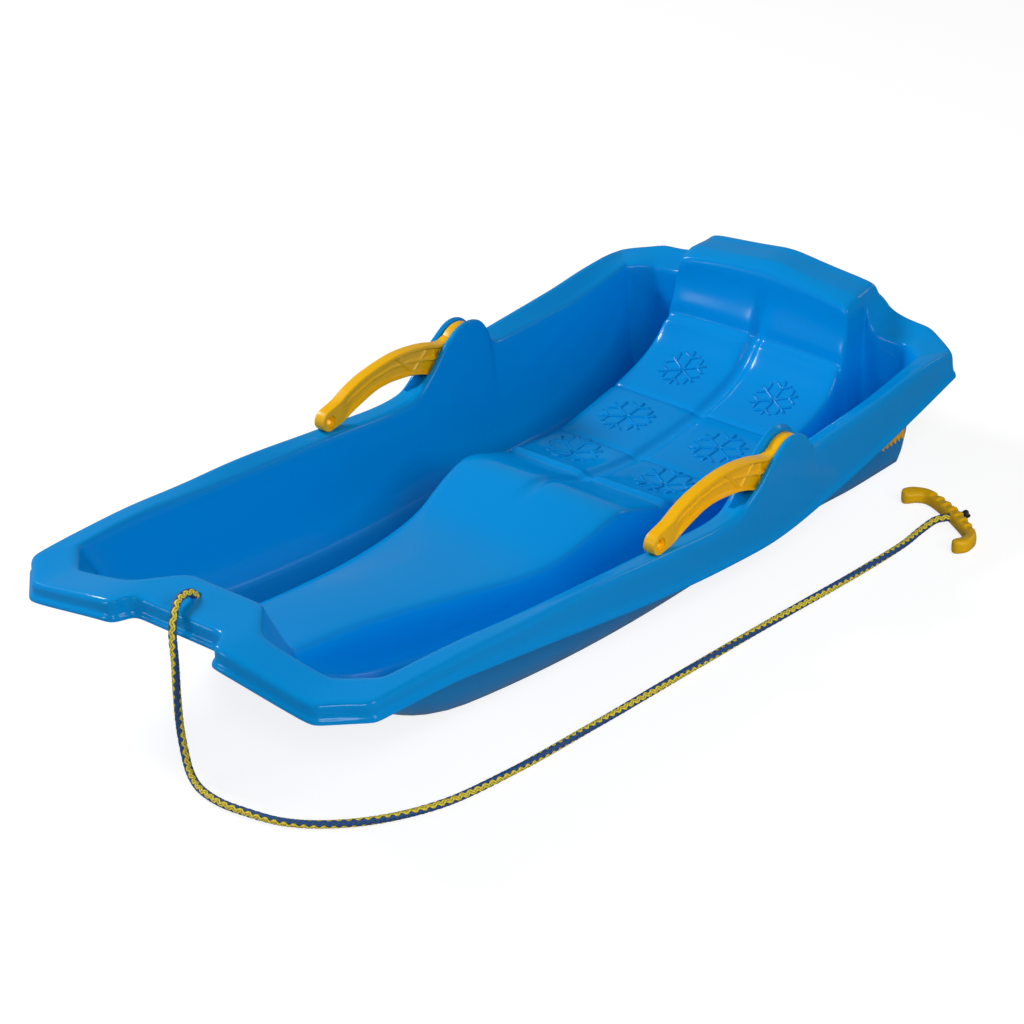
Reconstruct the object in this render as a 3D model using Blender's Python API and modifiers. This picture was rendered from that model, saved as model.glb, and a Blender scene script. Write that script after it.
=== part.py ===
# Plastic bobsled: a moulded hull with leg wells, seat and backrest, two pivoting brake levers,
# and a tow rope with its handle.
# Metres, +Z up, +X toward the nose, +Y toward the rider's left. The origin is on the ground under
# the middle of the hull. Everything but the rope and its handle is mirrored about the plane Y = 0.
import math

import bmesh
import bpy
from mathutils import Vector

# Hull outline seen from above, along the lower edge of its skirt
LENGTH = 0.848
WIDTH = 0.381
NOSE_X = LENGTH / 2.0
TAIL_X = -NOSE_X
HALF_WIDTH = WIDTH / 2.0
NOSE_STEP_BACK = 0.020
NOSE_STEP_Y = 0.045
NOSE_STEP_WIDTH = 0.0100
NOSE_CORNER_BACK = 0.0075
NOSE_CORNER_Y = HALF_WIDTH - 0.0409
NOSE_SIDE_BACK = 0.0395
NOSE_SIDE_Y = HALF_WIDTH - 0.0078
TAIL_SIDE_AHEAD = 0.0245
TAIL_SIDE_Y = HALF_WIDTH - 0.0015
TAIL_CORNER_AHEAD = 0.002
TAIL_CORNER_Y = HALF_WIDTH - 0.0405

# Rim: how far its edges lie inside the skirt's lower edge
SKIRT_FLARE = 0.0025
FLARE_SLANT = 0.7
NOSE_RIM = 0.040
NOSE_BUMP = 0.037
NOSE_BUMP_Y = 0.038
NOSE_BUMP_SPREAD = 0.032
NOSE_INNER_CORNER_BACK = 0.0068
NOSE_INNER_CORNER_IN = 0.0175
NOSE_INNER_SIDE_BACK = 0.034
NOSE_INNER_SIDE_IN = 0.0227
SIDE_RIM = 0.0235
REAR_RIM_EXTRA = 0.003
TAIL_FLARE = 0.0076
TAIL_RIM = 0.029
TAIL_INNER_CORNER_IN = 0.0094
TAIL_INNER_SIDE_AHEAD = 0.0267
TAIL_OUTER_SIDE_AHEAD = 0.0042
RIM_INNER_ROUND = 0.007
RIM_OUTER_ROUND = 0.005
LIP = 0.0022
WALL = 0.003

# Stations along the hull, as shares of its length behind the nose
DIP_X = NOSE_X - 0.559 * LENGTH
REAR_RIM_X = NOSE_X - 0.736 * LENGTH
LOW_SKIRT_X = NOSE_X - 0.6356 * LENGTH
FLOOR_LIFT_X = NOSE_X - 0.5354 * LENGTH
NOSE_SWEEP_X = NOSE_X - 0.2305 * LENGTH
HUMP_WAIST_X = NOSE_X - 0.4175 * LENGTH
CREST_X = NOSE_X - 0.5448 * LENGTH
SEAT_FRONT_X = NOSE_X - 0.618 * LENGTH
SEAT_LOW_X = NOSE_X - 0.7123 * LENGTH
PIVOT_X = NOSE_X - 0.6686 * LENGTH

# Heights of the rim, and how far the skirt's lower edge hangs below them
NOSE_RIM_Z = 0.117
NOSE_RIM_FALL = 0.002
NOSE_OUTER_FALL = 0.0015
NOSE_CROWN = 0.018
NOSE_CROWN_FALL = 0.001
NOSE_CROWN_START_Y = 0.150
NOSE_CROWN_RUN = 0.095
DIP_Z = 0.0845
DIP_FLAT = 0.014
REAR_RIM_Z = 0.1032
OUTER_RISE = 0.001
FRONT_OUTER_RISE = 0.0042
REAR_OUTER_RISE = 0.0055
TAIL_SIDE_RISE = 0.0085
TAIL_RIM_Z = 0.1170
TAIL_OUTER_RISE = 0.0060
TAIL_RIM_AHEAD = 0.051
NOSE_SKIRT_Z = NOSE_RIM_Z - 0.0175
NOSE_SKIRT_FALL = 0.0018
NOSE_SKIRT_CROWN = 0.0170
LOW_SKIRT_Z = DIP_Z - 0.0411
TAIL_SKIRT_Z = TAIL_RIM_Z - 0.0245
TAIL_SKIRT_RISE = 0.003

# Tub: floor and walls
FLOOR_ROCKER = 0.30
NOSE_SWEEP = 2.5
FLOOR_HALF_WIDTH = HALF_WIDTH - 0.0495
TAIL_FLOOR_HALF_WIDTH = HALF_WIDTH - 0.0465
NOSE_FLOOR_HALF_WIDTH = HALF_WIDTH - 0.0565
NOSE_FOOT_BACK = 0.106
NOSE_WALL_RUN = 0.044
NOSE_FOOT_CORNER_IN = 0.022
TAIL_WALL_RUN = 0.0050
TAIL_FOOT_CORNER_IN = 0.0165
TAIL_FOOT_AHEAD = 0.055
FOOT_RISE = 0.003
FOOT_INSET = 0.012
CREASE_HEIGHT = 0.25
CREASE_RUN = 0.5
END_CREASE_RUN = 0.3

# Leg hump, seat and backrest: one island down the middle of the tub
HUMP_FRONT_X = NOSE_X - NOSE_FOOT_BACK
HUMP_FRONT_Z = 0.0790
HUMP_HALF_WIDTH = 0.0430
HUMP_CROWN = 0.003
HUMP_WAIST_Z = 0.0480
HUMP_WAIST_HALF = 0.0715
HUMP_WAIST_RISE = 0.0015
CREST_Z = 0.0685
SEAT_FRONT_Z = 0.0505
SEAT_HALF_WIDTH = 0.087
SEAT_HOLLOW = 0.001
SEAT_LOW_Z = 0.0405
BACK_FOOT_X = TAIL_X + 0.137
BACK_FOOT_Z = 0.0510
BACK_HALF_WIDTH = 0.1005
BACK_DISH = 0.004
BACK_LEAN_X = TAIL_X + 0.0745
BACK_LEAN_Z = 0.0940
HEAD_X = TAIL_X + 0.062
HEAD_Z = 0.1485
HEAD_ROUND = 0.006
HEAD_HALF_WIDTH = 0.0965
HEAD_TOP_RUN = 0.018
HEAD_REAR_AHEAD = 0.0206
HEAD_REAR_Z = HEAD_Z + 0.0035
HEAD_REAR_HALF_WIDTH = 0.0930
HEAD_REAR_FLARE = 0.0106
HEAD_CROWN = 0.0098
HEAD_DISH = 0.0060
ISLAND_ROUND = 0.006
ISLAND_DRAFT = 0.07
ISLAND_FOOT = 0.006
GROOVE_HALF = 0.006
GROOVE_DEPTH = 0.003
GROOVE_FADE = 0.020
GROOVE_START = 0.028

# Brake pivots and ears
PIVOT_Z = DIP_Z + 0.0205
LEVER_Y = HALF_WIDTH - 0.0125
LEVER_THICK = 0.011
LEVER_SIDE_CLEAR = 0.0006
INNER_EAR_THICK = 0.0075
OUTER_EAR_THICK = 0.0048
INNER_EAR_RADIUS = 0.031
OUTER_EAR_RADIUS = 0.0268
EAR_FRONT = 0.072
EAR_REAR = 0.033
EAR_REAR_DROP = 0.004
EAR_DROP = 0.021
EAR_OVERCUT = 0.001
EAR_SLOPE_TURN = 48.0
EAR_BACK_TURN = 172.0
SLOT_FRONT_INSET = 0.006
SLOT_HEIGHT = 0.090
PIN_RADIUS = 0.0030
PIN_CLEAR = 0.0003
SOCKET_WALL = 0.0016
CUT_DEPTH = 0.030

# Brake lever, measured from its pivot
HUB_RADIUS = 0.0253
TIP_REACH = 0.179
TIP_RADIUS = 0.0098
TIP_CLEAR = 0.0010
TIP_HOLE_RADIUS = 0.0035
ARM_TOP_RISE = 0.0275
ARM_TOP_FALL = 0.0050
ARM_BOTTOM_RISE = 0.0050
ARM_TIP_HALF = 0.0045
POCKET_DEPTH = 0.0028
POCKET_BORDER = 0.0024
POCKET_STEP = 0.014
RIB_HALF = 0.0015
TAIL_THICK = 0.0075
TAIL_REACH = 0.186
TAIL_ROOT = 0.025
TAIL_ROOT_DROP = 0.004
TAIL_KNEE = 0.060
TAIL_KNEE_DROP = 0.012
TAIL_TOP_DROP = 0.030
TAIL_END_DROP = 0.0415
TAIL_END_ROUND = 0.0055
TAIL_DEPTH = 0.0125
TOOTH_COUNT = 6
TOOTH_PITCH = 0.0062
TOOTH_DEPTH = 0.005
TOOTH_START = 0.0015
TOOTH_LINE_FALL = 0.005
TOOTH_FACE = 0.85

# Tow rope, knots and handle
GAP = 0.0003
ROPE_RADIUS = 0.0035
ROPE_STEP = 0.0080
ROPE_CLEAR = 0.0026
HANDLE_HOLE_CLEAR = 0.0004
FLOOR_Z = ROPE_RADIUS + GAP
NOSE_TOP_Z = NOSE_RIM_Z + NOSE_CROWN
NOSE_HOLE_X = NOSE_X - 0.0512
NOSE_HOLE_Y = -0.0105
ROPE_START_DROP = 0.0056
KNOT_RADIUS = 0.0078
KNOT_HEIGHT = 0.0062
KNOT_GAP = 0.0006
HANDLE_X = TAIL_X + 0.1161
HANDLE_Y = HALF_WIDTH + 0.0565
HANDLE_TURN = math.radians(59.0)
HANDLE_HALF_LENGTH = 0.0565
HANDLE_CREST = 0.0105
HANDLE_WIDTH = 0.0130
HANDLE_BOW = 0.0215
HANDLE_INNER_BOW = 0.0042
HANDLE_HOOK = 0.0235
HANDLE_END_RADIUS = 0.0070
HANDLE_HEIGHT = 0.0136
ROPE_Z = HANDLE_HEIGHT / 2.0 + GAP
ROPE_LEAD = 0.0115

MERGE = 0.00005
HALF_ROUND = math.sqrt(0.5)


def clear_scene():
    for item in list(bpy.data.objects):
        bpy.data.objects.remove(item, do_unlink=True)


def new_collection(name):
    collection = bpy.data.collections.new(name)
    bpy.context.scene.collection.children.link(collection)
    return collection


def plastic(name, colour, roughness):
    material = bpy.data.materials.new(name)
    material.use_nodes = True
    shader = material.node_tree.nodes["Principled BSDF"]
    shader.inputs["Base Color"].default_value = (*colour, 1.0)
    shader.inputs["Roughness"].default_value = roughness
    shader.inputs["Metallic"].default_value = 0.0
    return material


def blend(a, b, t):
    return a + (b - a) * t


def ease(t):
    t = min(max(t, 0.0), 1.0)
    return t * t * (3.0 - 2.0 * t)


# Smooth curve through given points, with a number of steps for each span
def curve_through(keys, steps):
    points = []
    for i in range(len(keys) - 1):
        p1 = Vector(keys[i])
        p2 = Vector(keys[i + 1])
        p0 = Vector(keys[i - 1]) if i else p1 * 2.0 - p2
        p3 = Vector(keys[i + 2]) if i + 2 < len(keys) else p2 * 2.0 - p1
        d0 = math.sqrt((p1 - p0).length)
        d1 = math.sqrt((p2 - p1).length)
        d2 = math.sqrt((p3 - p2).length)
        m1 = ((p1 - p0) / d0 - (p2 - p0) / (d0 + d1) + (p2 - p1) / d1) * d1
        m2 = ((p2 - p1) / d1 - (p3 - p1) / (d1 + d2) + (p3 - p2) / d2) * d1
        count = steps[i]
        for k in range(count):
            t = k / count
            points.append(p1 * (2 * t**3 - 3 * t**2 + 1) + m1 * (t**3 - 2 * t**2 + t)
                          + p2 * (3 * t**2 - 2 * t**3) + m2 * (t**3 - t**2))
    points.append(Vector(keys[-1]))
    return points


# Value at x on a smooth line through (x, value) pairs, never beyond its neighbours
def value_at(keys, x):
    keys = sorted(keys)
    if x <= keys[0][0]:
        return keys[0][1]
    if x >= keys[-1][0]:
        return keys[-1][1]
    slopes = [(b[1] - a[1]) / (b[0] - a[0]) for a, b in zip(keys, keys[1:])]
    tangents = [slopes[0]]
    for left, right in zip(slopes, slopes[1:]):
        same_way = left * right > 0.0
        tangents.append(2.0 * left * right / (left + right) if same_way else 0.0)
    tangents.append(slopes[-1])
    i = max(k for k in range(len(keys) - 1) if keys[k][0] <= x)
    run = keys[i + 1][0] - keys[i][0]
    t = (x - keys[i][0]) / run
    return (keys[i][1] * (2 * t**3 - 3 * t**2 + 1) + tangents[i] * run * (t**3 - 2 * t**2 + t)
            + keys[i + 1][1] * (3 * t**2 - 2 * t**3) + tangents[i + 1] * run * (t**3 - t**2))


def arc(centre, radius, start, end, count):
    points = []
    for k in range(count + 1):
        angle = math.radians(blend(start, end, k / count))
        points.append((centre[0] + radius * math.cos(angle), centre[1] + radius * math.sin(angle)))
    return points


def polygon_plate(name, outline, thickness, collection):
    curve = bpy.data.curves.new(name, "CURVE")
    curve.dimensions = "2D"
    curve.fill_mode = "BOTH"
    curve.extrude = thickness / 2.0
    spline = curve.splines.new("POLY")
    spline.points.add(len(outline) - 1)
    for point, place in zip(spline.points, outline):
        point.co = (place[0], place[1], 0.0, 1.0)
    spline.use_cyclic_u = True
    return curve_to_mesh(name, curve, collection)


def curve_to_mesh(name, curve, collection):
    source = bpy.data.objects.new(name + "_curve", curve)
    collection.objects.link(source)
    bpy.context.view_layer.update()
    depsgraph = bpy.context.evaluated_depsgraph_get()
    mesh = bpy.data.meshes.new_from_object(source.evaluated_get(depsgraph))
    mesh.name = name
    work = bmesh.new()
    work.from_mesh(mesh)
    bmesh.ops.remove_doubles(work, verts=work.verts, dist=MERGE / 5.0)
    bmesh.ops.recalc_face_normals(work, faces=work.faces)
    work.to_mesh(mesh)
    work.free()
    item = bpy.data.objects.new(name, mesh)
    item.matrix_world = source.matrix_world.copy()
    bpy.data.objects.remove(source, do_unlink=True)
    collection.objects.link(item)
    return item


# A plate drawn in X and Z with its thickness along Y
def upright_plate(name, outline, thickness, centre, collection):
    item = polygon_plate(name, outline, thickness, collection)
    item.rotation_euler = (math.pi / 2.0, 0.0, 0.0)
    item.location = centre
    return item


def cylinder(name, radius, depth, place, turn, sides, collection):
    bpy.ops.mesh.primitive_cylinder_add(vertices=sides, radius=radius, depth=depth,
                                        location=place, rotation=turn)
    item = bpy.context.object
    item.name = name
    item.data.name = name
    move_to(item, collection)
    return item


def move_to(item, collection):
    for owner in list(item.users_collection):
        owner.objects.unlink(item)
    collection.objects.link(item)


def hide_cutter(item, collection):
    move_to(item, collection)
    item.hide_render = True
    item.display_type = "WIRE"


def boolean(target, tool, operation):
    step = target.modifiers.new(tool.name, "BOOLEAN")
    step.object = tool
    step.operation = operation
    step.solver = "EXACT"


def finish(item, material, sharp_degrees=35.0):
    item.data.materials.clear()
    item.data.materials.append(material)
    item.data.shade_smooth()
    item.data.set_sharp_from_angle(angle=math.radians(sharp_degrees))


# Heights along the hull
def rim_height(x):
    return value_at([
        (NOSE_X - NOSE_RIM - NOSE_INNER_SIDE_BACK, NOSE_RIM_Z),
        (blend(NOSE_X, DIP_X, 0.30), NOSE_RIM_Z - NOSE_RIM_FALL),
        (blend(NOSE_X, DIP_X, 0.48), blend(NOSE_RIM_Z, DIP_Z, 0.34)),
        (blend(NOSE_X, DIP_X, 0.84), blend(NOSE_RIM_Z, DIP_Z, 0.79)),
        (DIP_X, DIP_Z),
        (DIP_X - DIP_FLAT, blend(DIP_Z, REAR_RIM_Z, 0.03)),
        (blend(DIP_X, REAR_RIM_X, 0.30), blend(DIP_Z, REAR_RIM_Z, 0.48)),
        (blend(DIP_X, REAR_RIM_X, 0.65), blend(DIP_Z, REAR_RIM_Z, 0.90)),
        (REAR_RIM_X, REAR_RIM_Z),
        (blend(REAR_RIM_X, TAIL_X, 0.36), blend(REAR_RIM_Z, TAIL_RIM_Z, 0.13)),
        (TAIL_X + TAIL_RIM_AHEAD, blend(REAR_RIM_Z, TAIL_RIM_Z, 0.93)),
    ], x)


def rim_outer_rise(x):
    return value_at([
        (NOSE_X - NOSE_FOOT_BACK, -NOSE_OUTER_FALL),
        (blend(NOSE_X, DIP_X, 0.38), 0.0),
        (blend(NOSE_X, DIP_X, 0.60), FRONT_OUTER_RISE),
        (blend(NOSE_X, DIP_X, 0.84), OUTER_RISE),
        (blend(DIP_X, REAR_RIM_X, 0.07), OUTER_RISE),
        (REAR_RIM_X, REAR_OUTER_RISE),
        (blend(REAR_RIM_X, TAIL_X, 0.5), TAIL_SIDE_RISE),
        (TAIL_X + TAIL_RIM_AHEAD, blend(OUTER_RISE, TAIL_SIDE_RISE, 0.35)),
    ], x)


def skirt_height(x):
    return value_at([
        (NOSE_X - NOSE_SIDE_BACK, NOSE_SKIRT_Z),
        (NOSE_X - NOSE_FOOT_BACK, NOSE_SKIRT_Z - NOSE_SKIRT_FALL),
        (blend(NOSE_X, LOW_SKIRT_X, 0.38), blend(NOSE_SKIRT_Z, LOW_SKIRT_Z, 0.26)),
        (blend(NOSE_X, LOW_SKIRT_X, 0.70), blend(NOSE_SKIRT_Z, LOW_SKIRT_Z, 0.74)),
        (blend(NOSE_X, LOW_SKIRT_X, 0.88), blend(NOSE_SKIRT_Z, LOW_SKIRT_Z, 0.93)),
        (LOW_SKIRT_X, LOW_SKIRT_Z),
        (blend(LOW_SKIRT_X, TAIL_X, 0.39), blend(LOW_SKIRT_Z, TAIL_SKIRT_Z, 0.30)),
        (blend(LOW_SKIRT_X, TAIL_X, 0.67), blend(LOW_SKIRT_Z, TAIL_SKIRT_Z, 0.66)),
        (TAIL_X + TAIL_SIDE_AHEAD, TAIL_SKIRT_Z),
    ], x)


def floor_height(x):
    sweep = NOSE_SWEEP * max(x - NOSE_SWEEP_X, 0.0) ** 2
    return WALL + FLOOR_ROCKER * max(x - FLOOR_LIFT_X, 0.0) ** 2 + sweep


def skirt_half_width(x):
    return value_at([
        (NOSE_X - NOSE_SIDE_BACK, NOSE_SIDE_Y),
        (blend(NOSE_X, DIP_X, 0.37), blend(NOSE_SIDE_Y, HALF_WIDTH, 0.7)),
        (DIP_X, HALF_WIDTH),
        (TAIL_X + TAIL_SIDE_AHEAD, TAIL_SIDE_Y),
    ], x)


def floor_half_width(x):
    return value_at([
        (NOSE_X - NOSE_FOOT_BACK, NOSE_FLOOR_HALF_WIDTH),
        (blend(NOSE_X, DIP_X, 0.5), blend(NOSE_FLOOR_HALF_WIDTH, FLOOR_HALF_WIDTH, 0.3)),
        (REAR_RIM_X, FLOOR_HALF_WIDTH),
        (blend(REAR_RIM_X, TAIL_X, 0.45), TAIL_FLOOR_HALF_WIDTH),
    ], x)


def nose_crown(y):
    return ease((NOSE_CROWN_START_Y - y) / NOSE_CROWN_RUN)


# Stations down the island: x, height, half width, crown of its top, and how far its middle is set back
def island_stations():
    hump_to_waist = [(0.34, 0.34, 0.08), (0.68, 0.72, 0.45)]
    waist_to_crest = [(0.66, blend(HUMP_WAIST_Z, CREST_Z, 0.56), 0.80), (1.0, CREST_Z, 1.0)]
    keys = [(HUMP_FRONT_X, HUMP_FRONT_Z, HUMP_HALF_WIDTH, 0.7 * HUMP_CROWN, 0.0)]
    for along, down, wide in hump_to_waist:
        keys.append((blend(HUMP_FRONT_X, HUMP_WAIST_X, along), blend(HUMP_FRONT_Z, HUMP_WAIST_Z, down),
                     blend(HUMP_HALF_WIDTH, HUMP_WAIST_HALF, wide), HUMP_CROWN, 0.0))
    keys.append((HUMP_WAIST_X, HUMP_WAIST_Z, HUMP_WAIST_HALF, HUMP_CROWN, 0.0))
    keys.append((blend(HUMP_WAIST_X, CREST_X, 0.34), HUMP_WAIST_Z + HUMP_WAIST_RISE,
                 blend(HUMP_WAIST_HALF, SEAT_HALF_WIDTH, 0.42), HUMP_CROWN, 0.0))
    for along, height, wide in waist_to_crest:
        keys.append((blend(HUMP_WAIST_X, CREST_X, along), height,
                     blend(HUMP_WAIST_HALF, SEAT_HALF_WIDTH, wide), HUMP_CROWN, 0.0))
    keys.append((blend(CREST_X, SEAT_FRONT_X, 0.5), blend(CREST_Z, SEAT_FRONT_Z, 0.45), SEAT_HALF_WIDTH,
                 0.3 * HUMP_CROWN, 0.0))
    keys.append((SEAT_FRONT_X, SEAT_FRONT_Z, SEAT_HALF_WIDTH, -SEAT_HOLLOW, 0.0))
    keys.append((SEAT_LOW_X, SEAT_LOW_Z, blend(SEAT_HALF_WIDTH, BACK_HALF_WIDTH, 0.38), -SEAT_HOLLOW, 0.0))
    keys.append((blend(SEAT_LOW_X, BACK_FOOT_X, 0.56), blend(SEAT_LOW_Z, BACK_FOOT_Z, 0.35),
                 blend(SEAT_HALF_WIDTH, BACK_HALF_WIDTH, 0.80), -SEAT_HOLLOW, 0.0))
    keys.append((BACK_FOOT_X, BACK_FOOT_Z, BACK_HALF_WIDTH, -SEAT_HOLLOW, 0.25 * BACK_DISH))
    keys.append((blend(BACK_FOOT_X, BACK_LEAN_X, 0.70), blend(BACK_FOOT_Z, BACK_LEAN_Z, 0.40),
                 BACK_HALF_WIDTH, 0.0, 0.75 * BACK_DISH))
    keys.append((BACK_LEAN_X, BACK_LEAN_Z, blend(BACK_HALF_WIDTH, HEAD_HALF_WIDTH, 0.45), 0.0, BACK_DISH))
    keys.append((blend(BACK_LEAN_X, HEAD_X, 0.85), blend(BACK_LEAN_Z, HEAD_Z, 0.48),
                 blend(BACK_HALF_WIDTH, HEAD_HALF_WIDTH, 0.65), 0.3 * HEAD_CROWN,
                 blend(BACK_DISH, HEAD_DISH, 0.5)))
    keys.append((HEAD_X, HEAD_Z - HEAD_ROUND, HEAD_HALF_WIDTH, 0.8 * HEAD_CROWN, HEAD_DISH))
    keys.append((HEAD_X - HEAD_ROUND, HEAD_Z, HEAD_HALF_WIDTH, HEAD_CROWN, HEAD_DISH))
    steps = [2, 2, 2, 1, 1, 2, 1, 1, 2, 1, 1, 2, 1, 1, 1, 1]
    return curve_through(keys, steps)


# The half section of the island at one station, from the middle line to the foot of its side
def island_section(x, height, half, crown, dish, base, groove):
    section = []
    inner = half - ISLAND_ROUND
    for y in (0.0, GROOVE_HALF, blend(GROOVE_HALF, inner, 0.5), inner):
        share = 1.0 - (y / half) ** 2
        cut = groove if y == 0.0 else 0.0
        section.append((x - dish * share, y, height + crown * share - cut))
    drop = ISLAND_ROUND * (1.0 - HALF_ROUND)
    section.append((x, half - drop, height - drop))
    section.append((x, half, height - ISLAND_ROUND))
    foot = base + ISLAND_FOOT
    section.append((x, half + ISLAND_DRAFT * (height - ISLAND_ROUND - foot), foot))
    return section


def groove_depth(x):
    start = ease((CREST_X + GROOVE_START - x) / GROOVE_FADE)
    end = ease((x - HEAD_X) / GROOVE_FADE)
    return GROOVE_DEPTH * start * end


# Grid over the tub floor and the island: rows run from the nose to the tail, columns from the middle out
def tub_rows():
    rows = []
    tail_foot = TAIL_X + TAIL_FOOT_AHEAD
    for station in island_stations()[1:]:
        x, height, half, crown, dish = station
        base = floor_height(x)
        section = island_section(x, height, half, crown, dish, base, groove_depth(x))
        squeeze = ease((BACK_FOOT_X - x) / (BACK_FOOT_X - HEAD_X))
        side_x = x + squeeze * (tail_foot + HEAD_ROUND - HEAD_X)
        edge = floor_half_width(side_x)
        start = section[-1][1] + ISLAND_FOOT
        end = edge - FOOT_INSET
        for share in (0.0, 0.5, 1.0):
            place = blend(x, side_x, share)
            section.append((place, blend(start, end, share), floor_height(place)))
        section.append((side_x, edge, floor_height(side_x) + FOOT_RISE))
        rows.append(section)
    return rows


# One point of each of four loops round the hull: wall foot, rim inner edge, rim outer edge, skirt edge
def nose_loops():
    island = island_section(HUMP_FRONT_X, HUMP_FRONT_Z, HUMP_HALF_WIDTH, 0.7 * HUMP_CROWN, 0.0,
                            floor_height(HUMP_FRONT_X), 0.0)
    rim_x = NOSE_X - NOSE_RIM
    inner = loop_points((rim_x - NOSE_BUMP, NOSE_BUMP_Y),
                        (rim_x, NOSE_BUMP_Y + NOSE_BUMP_SPREAD),
                        (rim_x - NOSE_INNER_CORNER_BACK, NOSE_CORNER_Y - NOSE_INNER_CORNER_IN),
                        (rim_x - NOSE_INNER_SIDE_BACK, NOSE_SIDE_Y - NOSE_INNER_SIDE_IN), island)
    step_in = (NOSE_X - NOSE_STEP_BACK, NOSE_STEP_Y)
    step_out = (NOSE_X, NOSE_STEP_Y + NOSE_STEP_WIDTH)
    corner = (NOSE_X - NOSE_CORNER_BACK, NOSE_CORNER_Y)
    side = (NOSE_X - NOSE_SIDE_BACK, NOSE_SIDE_Y)
    skirt = loop_points(step_in, step_out, corner, side, island)
    step_in = (step_in[0] - SKIRT_FLARE, step_in[1])
    step_out = (step_out[0] - SKIRT_FLARE, step_out[1])
    corner = (corner[0] - SKIRT_FLARE, corner[1] - FLARE_SLANT * SKIRT_FLARE)
    side = (side[0] - FLARE_SLANT * SKIRT_FLARE, side[1] - SKIRT_FLARE)
    outer = loop_points(step_in, step_out, corner, side, island)
    foot_side = (HUMP_FRONT_X, floor_half_width(HUMP_FRONT_X))
    foot_corner = (rim_x - NOSE_WALL_RUN, foot_side[1] - NOSE_FOOT_CORNER_IN)
    foot_step = (rim_x - NOSE_WALL_RUN, NOSE_BUMP_Y + NOSE_BUMP_SPREAD)
    feet = [foot_step, middle(foot_step, foot_corner), foot_corner, foot_side]
    loops = []
    for j in range(len(inner)):
        if j < 6:
            foot = island[j]
        elif j == 6:
            foot = (blend(HUMP_FRONT_X, foot_step[0], 0.35), island[6][1], island[6][2])
        else:
            place = feet[j - 7]
            foot = (*place, floor_height(place[0]) + FOOT_RISE)
        rise = (NOSE_CROWN - NOSE_CROWN_FALL) * nose_crown(inner[j][1])
        top_in = (*inner[j], NOSE_RIM_Z + rise)
        top_out = (*outer[j], NOSE_RIM_Z - NOSE_OUTER_FALL + NOSE_CROWN * nose_crown(outer[j][1]))
        low = (*skirt[j], NOSE_SKIRT_Z + NOSE_SKIRT_CROWN * nose_crown(skirt[j][1]))
        loops.append((foot, top_in, top_out, low, END_CREASE_RUN, RIM_INNER_ROUND))
    return loops


def middle(a, b):
    return tuple(blend(p, q, 0.5) for p, q in zip(a, b))


# Columns of one front loop: the island's columns share its middle stretch
def loop_points(step_in, step_out, corner, side, island):
    points = []
    for j in range(6):
        points.append((step_in[0], step_in[1] * island[j][1] / island[5][1]))
    points.append(middle(step_in, step_out))
    points.append(step_out)
    points.append(middle(step_out, corner))
    points.append(corner)
    points.append(side)
    return points


def side_loops(rows):
    loops = []
    for row in rows:
        foot = row[-1]
        x = foot[0]
        skirt_y = skirt_half_width(x)
        extra = REAR_RIM_EXTRA * ease(0.5 + (REAR_RIM_X - x) / (REAR_RIM_X - TAIL_X))
        top = rim_height(x)
        loops.append((foot, (x, skirt_y - SIDE_RIM - extra, top),
                      (x, skirt_y - SKIRT_FLARE, top + rim_outer_rise(x)),
                      (x, skirt_y, skirt_height(x)), CREASE_RUN, RIM_INNER_ROUND))
    return loops


# Loops round the tail: six over the headrest, three behind the pocket, then the corner and the side
def tail_loops():
    x_out = TAIL_X + TAIL_FLARE
    x_in = x_out + TAIL_RIM
    x_foot = x_in + TAIL_WALL_RUN
    head_wall = HEAD_HALF_WIDTH + ISLAND_DRAFT * (HEAD_Z - WALL - ISLAND_FOOT)
    rear_wall = HEAD_REAR_HALF_WIDTH + ISLAND_DRAFT * (HEAD_REAR_Z - TAIL_RIM_Z)
    foot_y = TAIL_CORNER_Y - TAIL_FOOT_CORNER_IN
    loops = head_loops(x_foot)
    for share in (0.0, 0.22, 0.5):
        rise = blend(ISLAND_FOOT, FOOT_RISE, min(1.0, 5.0 * share))
        top_y = TAIL_CORNER_Y - TAIL_INNER_CORNER_IN
        loops.append(((x_foot, blend(head_wall, foot_y, share), WALL + rise),
                      (x_in, blend(head_wall - ISLAND_FOOT, top_y, share), TAIL_RIM_Z),
                      (x_out, blend(rear_wall, TAIL_CORNER_Y, share), TAIL_RIM_Z + TAIL_OUTER_RISE),
                      (TAIL_X, blend(rear_wall, TAIL_CORNER_Y, share), TAIL_SKIRT_Z + TAIL_SKIRT_RISE),
                      END_CREASE_RUN, RIM_INNER_ROUND))
    loops.append(((x_foot, foot_y, WALL + FOOT_RISE),
                  (x_in, TAIL_CORNER_Y - TAIL_INNER_CORNER_IN, TAIL_RIM_Z),
                  (x_out, TAIL_CORNER_Y, TAIL_RIM_Z + TAIL_OUTER_RISE),
                  (TAIL_X + TAIL_CORNER_AHEAD, TAIL_CORNER_Y, blend(TAIL_SKIRT_Z, NOSE_SKIRT_Z, 0.1)),
                  END_CREASE_RUN, RIM_INNER_ROUND))
    side_x = TAIL_X + TAIL_SIDE_AHEAD
    loops.append(((TAIL_X + TAIL_FOOT_AHEAD - FOOT_RISE, TAIL_FLOOR_HALF_WIDTH, WALL + FOOT_RISE),
                  (side_x + TAIL_INNER_SIDE_AHEAD, TAIL_SIDE_Y - SIDE_RIM - REAR_RIM_EXTRA, TAIL_RIM_Z),
                  (side_x + TAIL_OUTER_SIDE_AHEAD, TAIL_SIDE_Y - SKIRT_FLARE, TAIL_RIM_Z + OUTER_RISE),
                  (side_x, TAIL_SIDE_Y, TAIL_SKIRT_Z), END_CREASE_RUN, RIM_INNER_ROUND))
    return loops


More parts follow.
